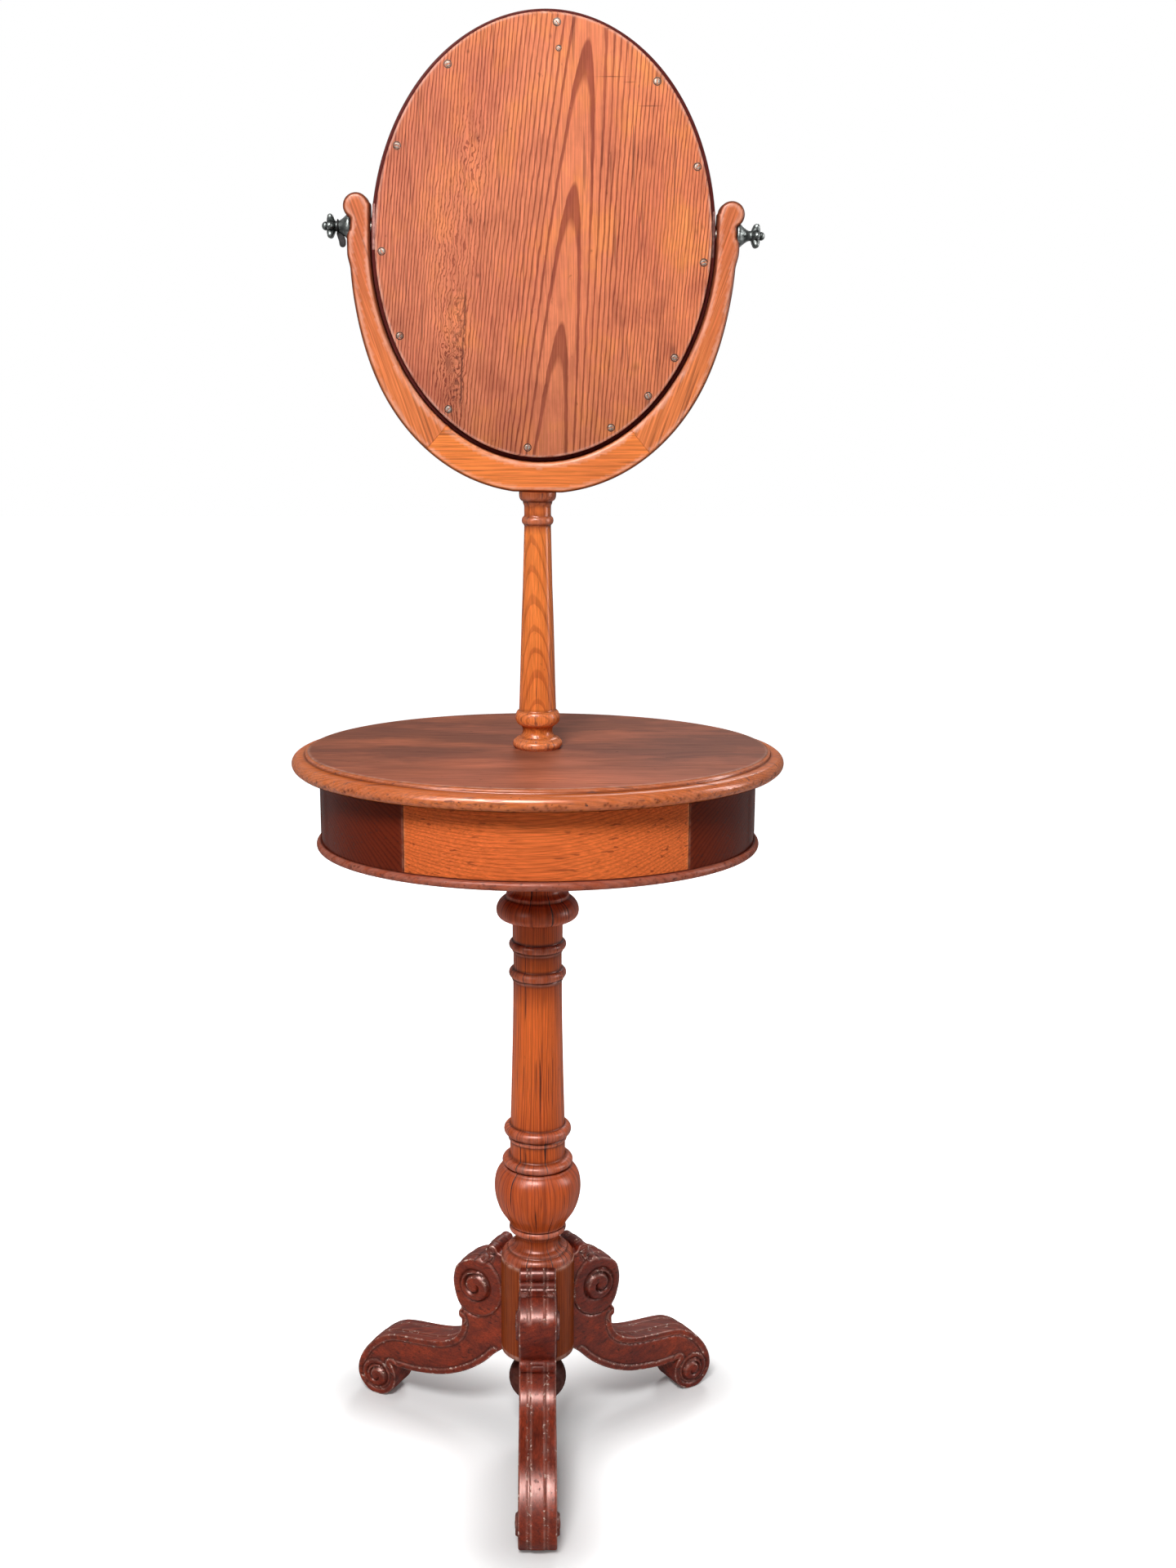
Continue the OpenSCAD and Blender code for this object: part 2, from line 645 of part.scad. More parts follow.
module stud(side) color(steel) in_mirror() pivot_axis(side)
  translate([0, 0, mirror_a - stud_in]) cylinder(r = stud_r, h = knob_seat + stud_out - mirror_a + stud_in);

module left_stud() stud(-1);
module right_stud() stud(1);

// A bell-shaped foot, a thin neck, a star of six rounded petals and a ball end
module knob(side) color(pewter) in_mirror() pivot_axis(side) translate([0, 0, knob_seat]) difference() {
  union() {
    turned(concat([[0, 0], [bell_r, 0], [bell_r, 1.6]],
      arc([bell_r, neck_at[0]], bell_r - neck_r, 9, 262, 180, 8),
      [[neck_r, neck_at[1]], [6, 14], [6.2, 17.5], [4, 19.5]],
      arc([0, 21.4], 4.4, 4.1, -25, 90, 8)));
    for (i = [0:5]) rotate(i * 60) translate([0, 0, 15.8]) rotate([0, 90, 0])
      turned(concat([[0, 1], [3.5, 1]], arc([0, star_r - 3], 3, 3, 0, 90, 6)));
  }
  translate([0, 0, -1]) cylinder(r = stud_r, h = stud_out + 1);
}

module left_knob() knob(-1);
module right_knob() knob(1);

// Small drooping lever, with an eye round the left knob's neck
module left_knob_wing() color(pewter) in_mirror() pivot_axis(-1) translate([0, 0, knob_seat])
  difference() {
    union() {
      peg(neck_r + 2.2, neck_at[0], neck_at[1] - 0.1);
      rotate([90, 0, 0]) translate([0, 0, -1.3]) linear_extrude(2.6) {
        translate([-wing_tip.y, wing_tip.x]) circle(r = wing_r);
        polygon([[-neck_r - 1, neck_at[1] - 0.1], [-wing_tip.y, wing_tip.x + wing_r],
          [-wing_tip.y, wing_tip.x - wing_r], [-neck_r - 2, neck_at[0] - 2]]);
      }
    }
    peg(neck_r + 0.1, 0, neck_at[1] + 1);
  }

placed() pendant_finial();
placed() leg_block();
placed() leg(leg_turns()[0]);  // front_leg
placed() leg(leg_turns()[1]);  // left_leg
placed() leg(leg_turns()[2]);  // right_leg
placed() leg_dowels();
placed() pillar();
placed() bearer();
placed() bearer_screws();
placed() base_board();
placed() centre_post();
placed() frieze_left();
placed() frieze_right();
placed() frieze_back();
placed() glue_blocks();
placed() table_top();
placed() drawer_guides();
placed() drawer_stops();
placed() drawer_front();
placed() drawer_left_side();
placed() drawer_right_side();
placed() drawer_back();
placed() drawer_bottom();
placed() upper_column();
placed() yoke_bow();
placed() yoke_left_arm();
placed() yoke_right_arm();
placed() yoke_joint_dowels();
placed() mirror_frame();
placed() mirror_glass();
placed() glass_packing();
placed() mirror_backboard();
placed() backboard_screws();
placed() left_pivot_plate();
placed() right_pivot_plate();
placed() pivot_plate_screws();
placed() left_washer();
placed() right_washer();
placed() left_stud();
placed() right_stud();
placed() left_knob();
placed() right_knob();
placed() left_knob_wing();
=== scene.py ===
import json
import math

import bmesh
import bpy
import numpy as np
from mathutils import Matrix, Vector, geometry


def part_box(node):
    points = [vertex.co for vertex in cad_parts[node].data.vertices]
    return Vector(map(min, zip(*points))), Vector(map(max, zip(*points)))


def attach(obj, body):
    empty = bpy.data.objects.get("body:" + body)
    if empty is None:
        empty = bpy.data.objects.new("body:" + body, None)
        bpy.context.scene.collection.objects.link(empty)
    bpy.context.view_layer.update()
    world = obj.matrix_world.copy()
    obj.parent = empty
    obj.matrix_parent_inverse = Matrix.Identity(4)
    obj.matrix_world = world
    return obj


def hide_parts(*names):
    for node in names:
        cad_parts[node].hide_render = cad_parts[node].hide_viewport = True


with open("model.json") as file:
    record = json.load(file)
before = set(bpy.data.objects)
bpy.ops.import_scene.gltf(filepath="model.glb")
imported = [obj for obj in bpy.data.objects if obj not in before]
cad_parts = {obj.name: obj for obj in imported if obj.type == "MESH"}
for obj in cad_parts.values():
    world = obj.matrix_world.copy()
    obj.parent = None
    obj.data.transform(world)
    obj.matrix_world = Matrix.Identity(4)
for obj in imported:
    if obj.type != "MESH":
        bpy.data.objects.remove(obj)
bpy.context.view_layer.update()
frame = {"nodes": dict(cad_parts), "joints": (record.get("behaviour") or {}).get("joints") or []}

MM = 0.001


# ------------------------------------------------------------------ sizes from the frame, in mm

def low(node):
    """The lowest corner of a CAD node's box."""
    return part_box(node)[0] / MM


def high(node):
    """The highest corner of a CAD node's box."""
    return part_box(node)[1] / MM


AXIS_Y = (low("pillar").y + high("pillar").y) / 2     # the pillar's axis, from front to back
TABLE_Z = high("table_top").z
TOP_UNDER = low("table_top").z
BASE_TOP = low("frieze_left").z
BASE_UNDER = low("base_board").z
BLOCK_Z = low("leg_block").z
BLOCK_TOP = high("leg_block").z
BLOCK_R = high("leg_block").x
EDGE_OUT = 18                                          # reach of the top's moulding past its flat
FLAT_A = high("table_top").x - EDGE_OUT
FLAT_B = high("table_top").y - AXIS_Y - EDGE_OUT
FRIEZE_A = high("frieze_right").x
FRIEZE_B = high("frieze_back").y - AXIS_Y
WALL = 18                                              # thickness of the curved walls
LEG_HALF = 20.5                                        # half of a leg's width across
LEG_TURNS = {"front_leg": -90, "left_leg": 152, "right_leg": 32}
VOLUTE = np.array([BLOCK_R + 28.5, BLOCK_Z + 78])      # centres in a leg's side view
VOLUTE_BOSS = VOLUTE + (1.0, 0)
FOOT = np.array([209.5, 26.6])
FOOT_BOSS = FOOT + (-1, -1.6)
TOP_SCROLL = np.array([BLOCK_R + 8.5, BLOCK_TOP + 1])
YOKE_HALF = (high("yoke_bow").y - low("yoke_bow").y) / 2
MIRROR_A = 171                                         # half width and half height of the mirror's frame
MIRROR_B = 216.3
FRAME_BACK = -6                                        # place of its back, from front to back
BOARD_T = 8                                            # thickness of the back board
BOARD_IN = 3.5                                         # how far its edge lies inside the frame's
PIVOT_UP = 9.5                                         # the pivots' height over the mirror's middle
KNOB_SEAT = 192.8                                      # distance of a knob's seat from that middle

tilt = next(j for j in frame["joints"] if j["name"] == "mirror_tilt")
PIVOT = np.array(tilt["pos_m"]) / MM - (0, AXIS_Y, 0)
RIGHT = np.array(tilt["axis"])                         # along the mirror's pivots
UP = np.cross(RIGHT, (0, 1, 0))


def in_mirror(points):
    """Points about the mirror's middle, in mm, moved to their place about the pillar's axis."""
    p = np.asarray(points, float)
    return PIVOT + p[:, :1] * RIGHT + p[:, 1:2] * np.array((0, 1, 0)) + (p[:, 2:] - PIVOT_UP) * UP


# ------------------------------------------------------------------ lines and outlines

def smooth_step(x, x0, x1):
    """0 at x0 and 1 at x1, which may be the lower of the two."""
    t = np.clip((np.asarray(x, float) - x0) / (x1 - x0), 0, 1)
    return t * t * (3 - 2 * t)


def arc(centre, rx, ry, start, end, count=12):
    t = np.radians(np.linspace(start, end, count))
    return [(centre[0] + rx * math.cos(a), centre[1] + ry * math.sin(a)) for a in t]


def curve_through(points, step):
    """Points about step apart on a smooth curve through the given ones."""
    p = np.asarray(points, float)
    if len(p) == 2:
        padded = np.array([2 * p[0] - p[1], p[0], p[1], 2 * p[1] - p[0]])
    else:
        padded = np.vstack([2 * p[0] - p[1], p, 2 * p[-1] - p[-2]])
    found = []
    for a, b, c, d in zip(padded, padded[1:], padded[2:], padded[3:]):
        count = max(1, round(float(np.linalg.norm(c - b)) / step))
        for t in np.arange(count) / count:
            found.append(0.5 * (2 * b + (c - a) * t + (2 * a - 5 * b + 4 * c - d) * t * t
                                + (3 * b - a - 3 * c + d) * t ** 3))
    return found + [p[-1]]


def turns_of(p, closed):
    """Angle by which a line turns at each of its points, in degrees."""
    before = p - np.roll(p, 1, axis=0)
    after = np.roll(p, -1, axis=0) - p
    cross = before[:, 0] * after[:, 1] - before[:, 1] * after[:, 0]
    turn = np.degrees(np.arctan2(cross, (before * after).sum(1)))
    if not closed:
        turn[0] = turn[-1] = 0
    return turn


def soften(points, step=1.0, radius=0.6, corner=33, closed=False):
    """A line with smooth runs between its corners, and the corners rounded a little."""
    p = np.asarray(points, float)
    keep = np.linalg.norm(p - np.roll(p, 1, axis=0), axis=1) > 0.02
    keep[0] = keep[0] or not closed
    p = p[keep]
    turn = np.abs(turns_of(p, closed))
    corners = [i for i in range(len(p)) if turn[i] > corner]
    if closed:
        first = corners[0] if corners else 0
        p = np.roll(p, -first, axis=0)
        corners = [i - first for i in corners] or [0]
        p = np.vstack([p, p[:1]])
    ends = sorted(set([0, *corners, len(p) - 1]))
    line = []
    for i, j in zip(ends, ends[1:]):
        line += curve_through(p[i:j + 1], step)[:-1]
    line = np.array(line if closed else line + [p[-1]])
    for _ in range(max(1, round(2 * (radius / step) ** 2))):
        mean = (np.roll(line, 1, axis=0) + 2 * line + np.roll(line, -1, axis=0)) / 4
        if not closed:
            mean[0], mean[-1] = line[0], line[-1]
        line = mean
    return line


def mesh_points(node):
    """A CAD node's mesh, and its points in mm about the pillar's axis."""
    mesh = frame["nodes"][node].data
    return mesh, np.array([v.co for v in mesh.vertices], float) / MM - (0, AXIS_Y, 0)


def turned_profile(node):
    """[radius, height] along the outline of a turned CAD node, from its lowest point up."""
    mesh, points = mesh_points(node)
    flat = np.round(np.stack([np.hypot(points[:, 0], points[:, 1]), points[:, 2]], 1) * 20) / 20
    keys = [tuple(k) for k in flat]
    joined = {}
    for edge in mesh.edges:
        a, b = (keys[v] for v in edge.vertices)
        if a != b:
            joined.setdefault(a, set()).add(b)
            joined.setdefault(b, set()).add(a)
    here = min(joined, key=lambda k: (k[1], k[0]))
    line, seen = [here], {here}
    while True:
        ways = [k for k in joined[here] if k not in seen]
        if not ways:
            return line
        here = min(ways, key=lambda k: math.dist(k, here))
        seen.add(here)
        line.append(here)


def flat_outline(node, across, level):
    """Outline of a CAD node's flat face at that level, in mm, on the two other axes."""
    mesh, points = mesh_points(node)
    keys = [tuple(k) for k in np.round(points, 2)]
    edges = set()
    for face in mesh.polygons:
        corners = list(face.vertices)
        if all(abs(points[v][across] - level) < 0.03 for v in corners):
            names = [keys[v] for v in corners]
            edges.update(zip(names, names[1:] + names[:1]))
    onward = {a: b for a, b in edges if (b, a) not in edges}
    loops = []
    while onward:
        start, here = onward.popitem()
        loop = [start]
        while here != start and here in onward:
            loop.append(here)
            here = onward.pop(here)
        loops.append(loop)
    longest = max(loops, key=len)
    rest = [k for k in range(3) if k != across]
    return turned_left(np.array([[p[k] for k in rest] for p in longest]))


def spun(x, y, degrees):
    """Two coordinates turned about their origin."""
    t = math.radians(degrees)
    return x * math.cos(t) - y * math.sin(t), x * math.sin(t) + y * math.cos(t)


def area_of(p):
    q = np.roll(p, -1, axis=0)
    return (p[:, 0] * q[:, 1] - p[:, 1] * q[:, 0]).sum() / 2


def turned_left(line):
    """A closed line in the direction that has its inside on the left."""
    return line if area_of(line) > 0 else line[::-1]


# ------------------------------------------------------------------ meshes

def piece(name, points, faces, body, material, marks=None, crease=38):
    """A mesh in place of the node of that name, from points in mm about the pillar's axis."""
    mesh = bpy.data.meshes.new(name)
    placed = (np.asarray(points, float) + (0, AXIS_Y, 0)) * MM
    mesh.from_pydata(placed.tolist(), [], [list(map(int, f)) for f in faces])
    for mark, values in (marks or {}).items():
        attribute = mesh.attributes.new(mark, "FLOAT", "POINT")
        attribute.data.foreach_set("value", np.asarray(values, np.float32))
    b = bmesh.new()
    b.from_mesh(mesh)
    bmesh.ops.recalc_face_normals(b, faces=b.faces)
    b.to_mesh(mesh)
    b.free()
    mesh.shade_smooth()
    mesh.set_sharp_from_angle(angle=math.radians(crease))
    mesh.materials.append(material)
    made = bpy.data.objects.new(name, mesh)
    bpy.context.scene.collection.objects.link(made)
    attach(made, body)
    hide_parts(name)
    return made


def band_faces(rows, count, closed=True, start=0):
    """Quads between neighbouring rows of count points each."""
    last = count if closed else count - 1
    return [(start + r * count + i, start + r * count + (i + 1) % count,
             start + (r + 1) * count + (i + 1) % count, start + (r + 1) * count + i)
            for r in range(rows - 1) for i in range(last)]


def moved_on(faces, first):
    """Faces whose points come after the first ones of a joined mesh."""
    return [tuple(first + i for i in face) for face in faces]


def edge_marks(line, spread=1.4, closed=False):
    """Wear and painted highlight on the outer bends of a line, and dirt and painted shade in its hollows,
    from 0 to 1.
    """
    p = np.asarray(line, float)
    length = np.linalg.norm(np.roll(p, -1, axis=0) - p, axis=1) + 1e-6
    turn = np.radians(turns_of(p, closed))
    wear_and_highlight, dirt_and_shade = np.clip(turn, 0, None), np.clip(-turn, 0, None)
    passes = max(1, round(2 * (spread / float(np.median(length))) ** 2))
    for _ in range(passes):
        wear_and_highlight = (np.roll(wear_and_highlight, 1) + 2 * wear_and_highlight + np.roll(wear_and_highlight, -1)) / 4
        dirt_and_shade = (np.roll(dirt_and_shade, 1) + 2 * dirt_and_shade + np.roll(dirt_and_shade, -1)) / 4
    scale = spread / float(np.median(length)) * 1.6
    return np.clip(wear_and_highlight * scale, 0, 1), np.clip(dirt_and_shade * scale, 0, 1)


def tube_faces(rows, count):
    """Quads between rows of count points each, and a face across each end."""
    return band_faces(rows, count) + [range(count), range((rows - 1) * count, rows * count)]


def lathe(line, steps=128):
    """Points, faces and marks of a turned solid whose line starts and ends near the axis."""
    points, faces = oval_loft(0, 0, line, steps)
    wear_and_highlight, dirt_and_shade = edge_marks(line)
    return points, faces, {"wear_and_highlight": np.repeat(wear_and_highlight, steps), "dirt_and_shade": np.repeat(dirt_and_shade, steps)}


def oval_loft(a, b, line, steps):
    """Points and faces of an oval board whose edge follows a line of [reach past a and b, height]."""
    angles = np.radians(np.arange(steps) * 360 / steps)
    rows = [np.stack([(a + e) * np.cos(angles), (b + e) * np.sin(angles), np.full(steps, z)], 1)
            for e, z in line]
    return np.vstack(rows), tube_faces(len(line), steps)


def inset_ways(outline, softness):
    """How each corner of an outline moves when its edges move inwards by one; softness is per edge."""
    p = np.asarray(outline, float)
    along = np.roll(p, -1, axis=0) - p
    along /= np.linalg.norm(along, axis=1)[:, None] + 1e-9
    inward = np.stack([-along[:, 1], along[:, 0]], 1)
    before, s0 = np.roll(inward, 1, axis=0), np.roll(softness, 1)
    cross = before[:, 0] * inward[:, 1] - before[:, 1] * inward[:, 0]
    mean = before + inward
    mean /= np.linalg.norm(mean, axis=1)[:, None] + 1e-9
    ways = mean * ((s0 + softness) / 2)[:, None]
    sharp = np.abs(cross) > 0.3
    solved = np.stack([s0 * inward[:, 1] - softness * before[:, 1],
                       softness * before[:, 0] - s0 * inward[:, 0]], 1)
    ways[sharp] = solved[sharp] / cross[sharp][:, None]
    return ways


def inside(points, polygon):
    """Which points lie in a polygon."""
    x, y = points[:, 0][:, None], points[:, 1][:, None]
    x0, y0 = polygon[:, 0], polygon[:, 1]
    x1, y1 = np.roll(x0, -1), np.roll(y0, -1)
    crossed = (y0 > y) != (y1 > y)
    with np.errstate(divide="ignore", invalid="ignore"):
        left = x < (x1 - x0) * (y - y0) / (y1 - y0) + x0
    return (crossed & left).sum(1) % 2 == 1


def nearest(points, line):
    """Distance from each point to the nearest point of a line."""
    found = np.full(len(points), 1e9)
    for k in range(0, len(line), 200):
        gap = np.linalg.norm(points[:, None] - line[None, k:k + 200], axis=2).min(1)
        found = np.minimum(found, gap)
    return found


def grid_inside(ring, step):
    """Points of a triangular grid inside a ring, and not too near it."""
    x = np.arange(ring[:, 0].min(), ring[:, 0].max(), step)
    z = np.arange(ring[:, 1].min(), ring[:, 1].max(), step * 0.87)
    gx, gz = np.meshgrid(x, z)
    gx = gx + (np.arange(len(z)) % 2)[:, None] * step / 2
    grid = np.stack([gx.ravel(), gz.ravel()], 1)
    grid = grid[inside(grid, ring)]
    return grid[nearest(grid, ring) > 0.55 * step]


def slab(outline, half, radius, softness=None, grid=None, relief=None, rim=None, steps=4,
         painted_edge_shade=0.0, worn_and_lit_at=40, painted_highlight_below=None):
    """Points [x, depth, z], faces and marks of a board with a rounded outline.

    softness is each edge's share of the rounding's radius. relief(points) gives height, lightening and
    darkening on the flat sides, and rim(outline, outward, share) depth, lightening and darkening on the
    edge's bands. Of the last three settings, the first paints shade on the rounding, darker towards the
    sides; the second is the angle on it that is worn and lit as a painted highlight; and the third is a
    height below which the upper-facing edges get a painted highlight.
    """
    outline = np.asarray(outline, float)
    count = len(outline)
    softness = np.ones(count) if softness is None else softness
    ways = inset_ways(outline, softness)
    outward = -ways / (np.linalg.norm(ways, axis=1)[:, None] + 1e-9)
    quarter = np.radians(np.linspace(0, 90, steps + 1))
    rows = [(half - radius + radius * math.cos(t), radius - radius * math.sin(t), math.degrees(t))
            for t in quarter]
    across = [] if rim is None else np.linspace(half - radius, radius - half, 30)[1:-1]
    rows += [(y, 0, 90) for y in across]
    rows += [(-y, d, t) for y, d, t in rows[steps::-1]]
    points, wear_and_highlight, dirt_and_shade = [], [], []
    least_soft = np.minimum(softness, np.roll(softness, 1))
    most_soft = np.maximum(softness, np.roll(softness, 1))
    for y, d, bend in rows:
        depth, light, dark = (0, 0, 0) if rim is None else rim(outline, outward, y / half)
        ring = outline + ways * np.resize(d + depth, (count, 1))
        points.append(np.stack([ring[:, 0], np.full(count, y), ring[:, 1]], 1))
        # lighter band at the given angle on the rounding: edge wear, and on the yoke, near its face, a
        # painted highlight
        edge = math.exp(-((bend - worn_and_lit_at) / 20) ** 2)
        wear_and_highlight.append(np.clip(np.full(count, edge) + light, 0, 1) * least_soft)
        # painted shade: the softly rounded edge darker towards the sides, as it turns away from the light
        painted_outline_shade = painted_edge_shade * smooth_step(bend, 14, 44) * smooth_step(most_soft, 0.2, 0.6)
        # painted highlight on the upper-facing edges below the given height, in place of the painted shade
        # there
        if painted_highlight_below is not None:
            painted_highlight = smooth_step(outward[:, 1], 0.15, 0.6) * math.exp(-((bend - 42) / 24) ** 2)
            painted_highlight = painted_highlight * smooth_step(outline[:, 1], painted_highlight_below, painted_highlight_below - 40)
            wear_and_highlight[-1] = np.clip(wear_and_highlight[-1] + painted_highlight * least_soft, 0, 1)
            painted_outline_shade = painted_outline_shade * (1 - painted_highlight)
        dirt_and_shade.append(np.clip(painted_outline_shade + dark, 0, 1))
    faces = band_faces(len(rows), count)
    total = len(rows) * count
    ring = points[0][:, [0, 2]]
    inner = grid_inside(ring, grid) if grid else np.zeros((0, 2))
    spots, _, triangles, sources, _, _ = geometry.delaunay_2d_cdt(
        [Vector(p) for p in np.vstack([ring, inner])], [], [list(range(count))], 1, 1e-5)
    height, light, dark = relief(inner) if relief is not None else (0, 0, 0)
    for side, first in ((1, 0), (-1, (len(rows) - 1) * count)):
        names = []
        for spot, source in zip(spots, sources):
            k = source[0] if source else int(np.argmin(np.linalg.norm(ring - np.array(spot), axis=1)))
            names.append(first + k if k < count else total + k - count)
        corners = [[names[k] for k in triangle] for triangle in triangles]
        faces += [c for c in corners if len(set(c)) > 2]
        level = np.full(len(inner), side * half) + side * height
        points.append(np.stack([inner[:, 0], level, inner[:, 1]], 1))
        wear_and_highlight.append(np.zeros(len(inner)) + light)
        dirt_and_shade.append(np.zeros(len(inner)) + dark)
        total += len(inner)
    return np.vstack(points), faces, {"wear_and_highlight": np.concatenate(wear_and_highlight), "dirt_and_shade": np.concatenate(dirt_and_shade)}


# ------------------------------------------------------------------ materials

class Nodes:
    """Builds one tree: each call adds a node and returns its output."""

    def __init__(self, owner):
        owner.use_nodes = True
        self.owner = owner
        self.tree = owner.node_tree
        self.tree.nodes.clear()

    def add(self, kind, inputs=(), output=0, **settings):
        node = self.tree.nodes.new("ShaderNode" + kind)
        for key, value in settings.items():
            setattr(node, key, value)
        pairs = inputs.items() if isinstance(inputs, dict) else enumerate(inputs)
        for key, value in pairs:
            if value is None:
                continue
            if isinstance(value, bpy.types.NodeSocket):
                self.tree.links.new(value, node.inputs[key])
            else:
                node.inputs[key].default_value = value
        return node.outputs[output] if node.outputs else None

    def math(self, operation, *inputs, clamp=False):
        return self.add("Math", inputs, operation=operation, use_clamp=clamp)

    def plus(self, a, b, clamp=False):
        return self.math("ADD", a, b, clamp=clamp)

    def less(self, a, b):
        return self.math("SUBTRACT", a, b)

    def times(self, a, b, clamp=False):
        return self.math("MULTIPLY", a, b, clamp=clamp)

    def scaled(self, a, factor, offset, clamp=False):
        return self.math("MULTIPLY_ADD", a, factor, offset, clamp=clamp)

    def most(self, *values):
        total = values[0]
        for value in values[1:]:
            total = self.math("MAXIMUM", total, value)
        return total

    def fading(self, value, rate=1.0):
        """e to the power of minus a value times the rate."""
        return self.math("POWER", math.e, self.times(value, -rate))

    def vector(self, operation, *inputs):
        return self.add("VectorMath", inputs, operation=operation)

    def mix(self, share, a, b, blend="MIX"):
        return self.add("Mix", {0: share, 6: a, 7: b}, output=2, data_type="RGBA", blend_type=blend,
                        clamp_factor=True)

    def noise(self, place, scale, detail=3, rough=0.5):
        stretched = self.vector("MULTIPLY", place, scale)
        return self.add("TexNoise", {"Vector": stretched, "Scale": 1.0, "Detail": detail, "Roughness": rough})

    def ramp(self, value, stops):
        output = self.add("ValToRGB", [value])
        band = output.node.color_ramp
        while len(band.elements) < len(stops):
            band.elements.new(0.5)
        for element, (place, level) in zip(band.elements, stops):
            element.position = place
            element.color = (*level, 1) if isinstance(level, tuple) else (level, level, level, 1)
        return output

    def mark(self, name):
        return self.add("Attribute", output=2, attribute_name=name)

    def place(self, origin=(0, 0, 0), turn=(0, 0, 0)):
        """Object coordinates in mm from an origin, turned so that the grain runs along Z."""
        spot = self.add("TexCoord", output=3)
        spot = self.vector("MULTIPLY", spot, (1000, 1000, 1000))
        spot = self.vector("SUBTRACT", spot, (origin[0], origin[1] + AXIS_Y, origin[2]))
        if any(turn):
            spot = self.add("Mapping", {"Vector": spot, "Rotation": [math.radians(t) for t in turn]})
        return spot

    def finish(self, **inputs):
        named = {key.replace("_", " "): value for key, value in inputs.items()}
        self.add("OutputMaterial", {"Surface": self.add("BsdfPrincipled", named)})
        return self.owner


def new_material(name):
    return Nodes(bpy.data.materials.new(name))


def rgb(r, g, b):
    return (r, g, b, 1)


ALONG_X = (0, -90, 0)      # turns the grain from up to along X
ALONG_Y = (90, 0, 0)       # and to along Y
GLOSS_TINT = (1.0, 0.62, 0.56)


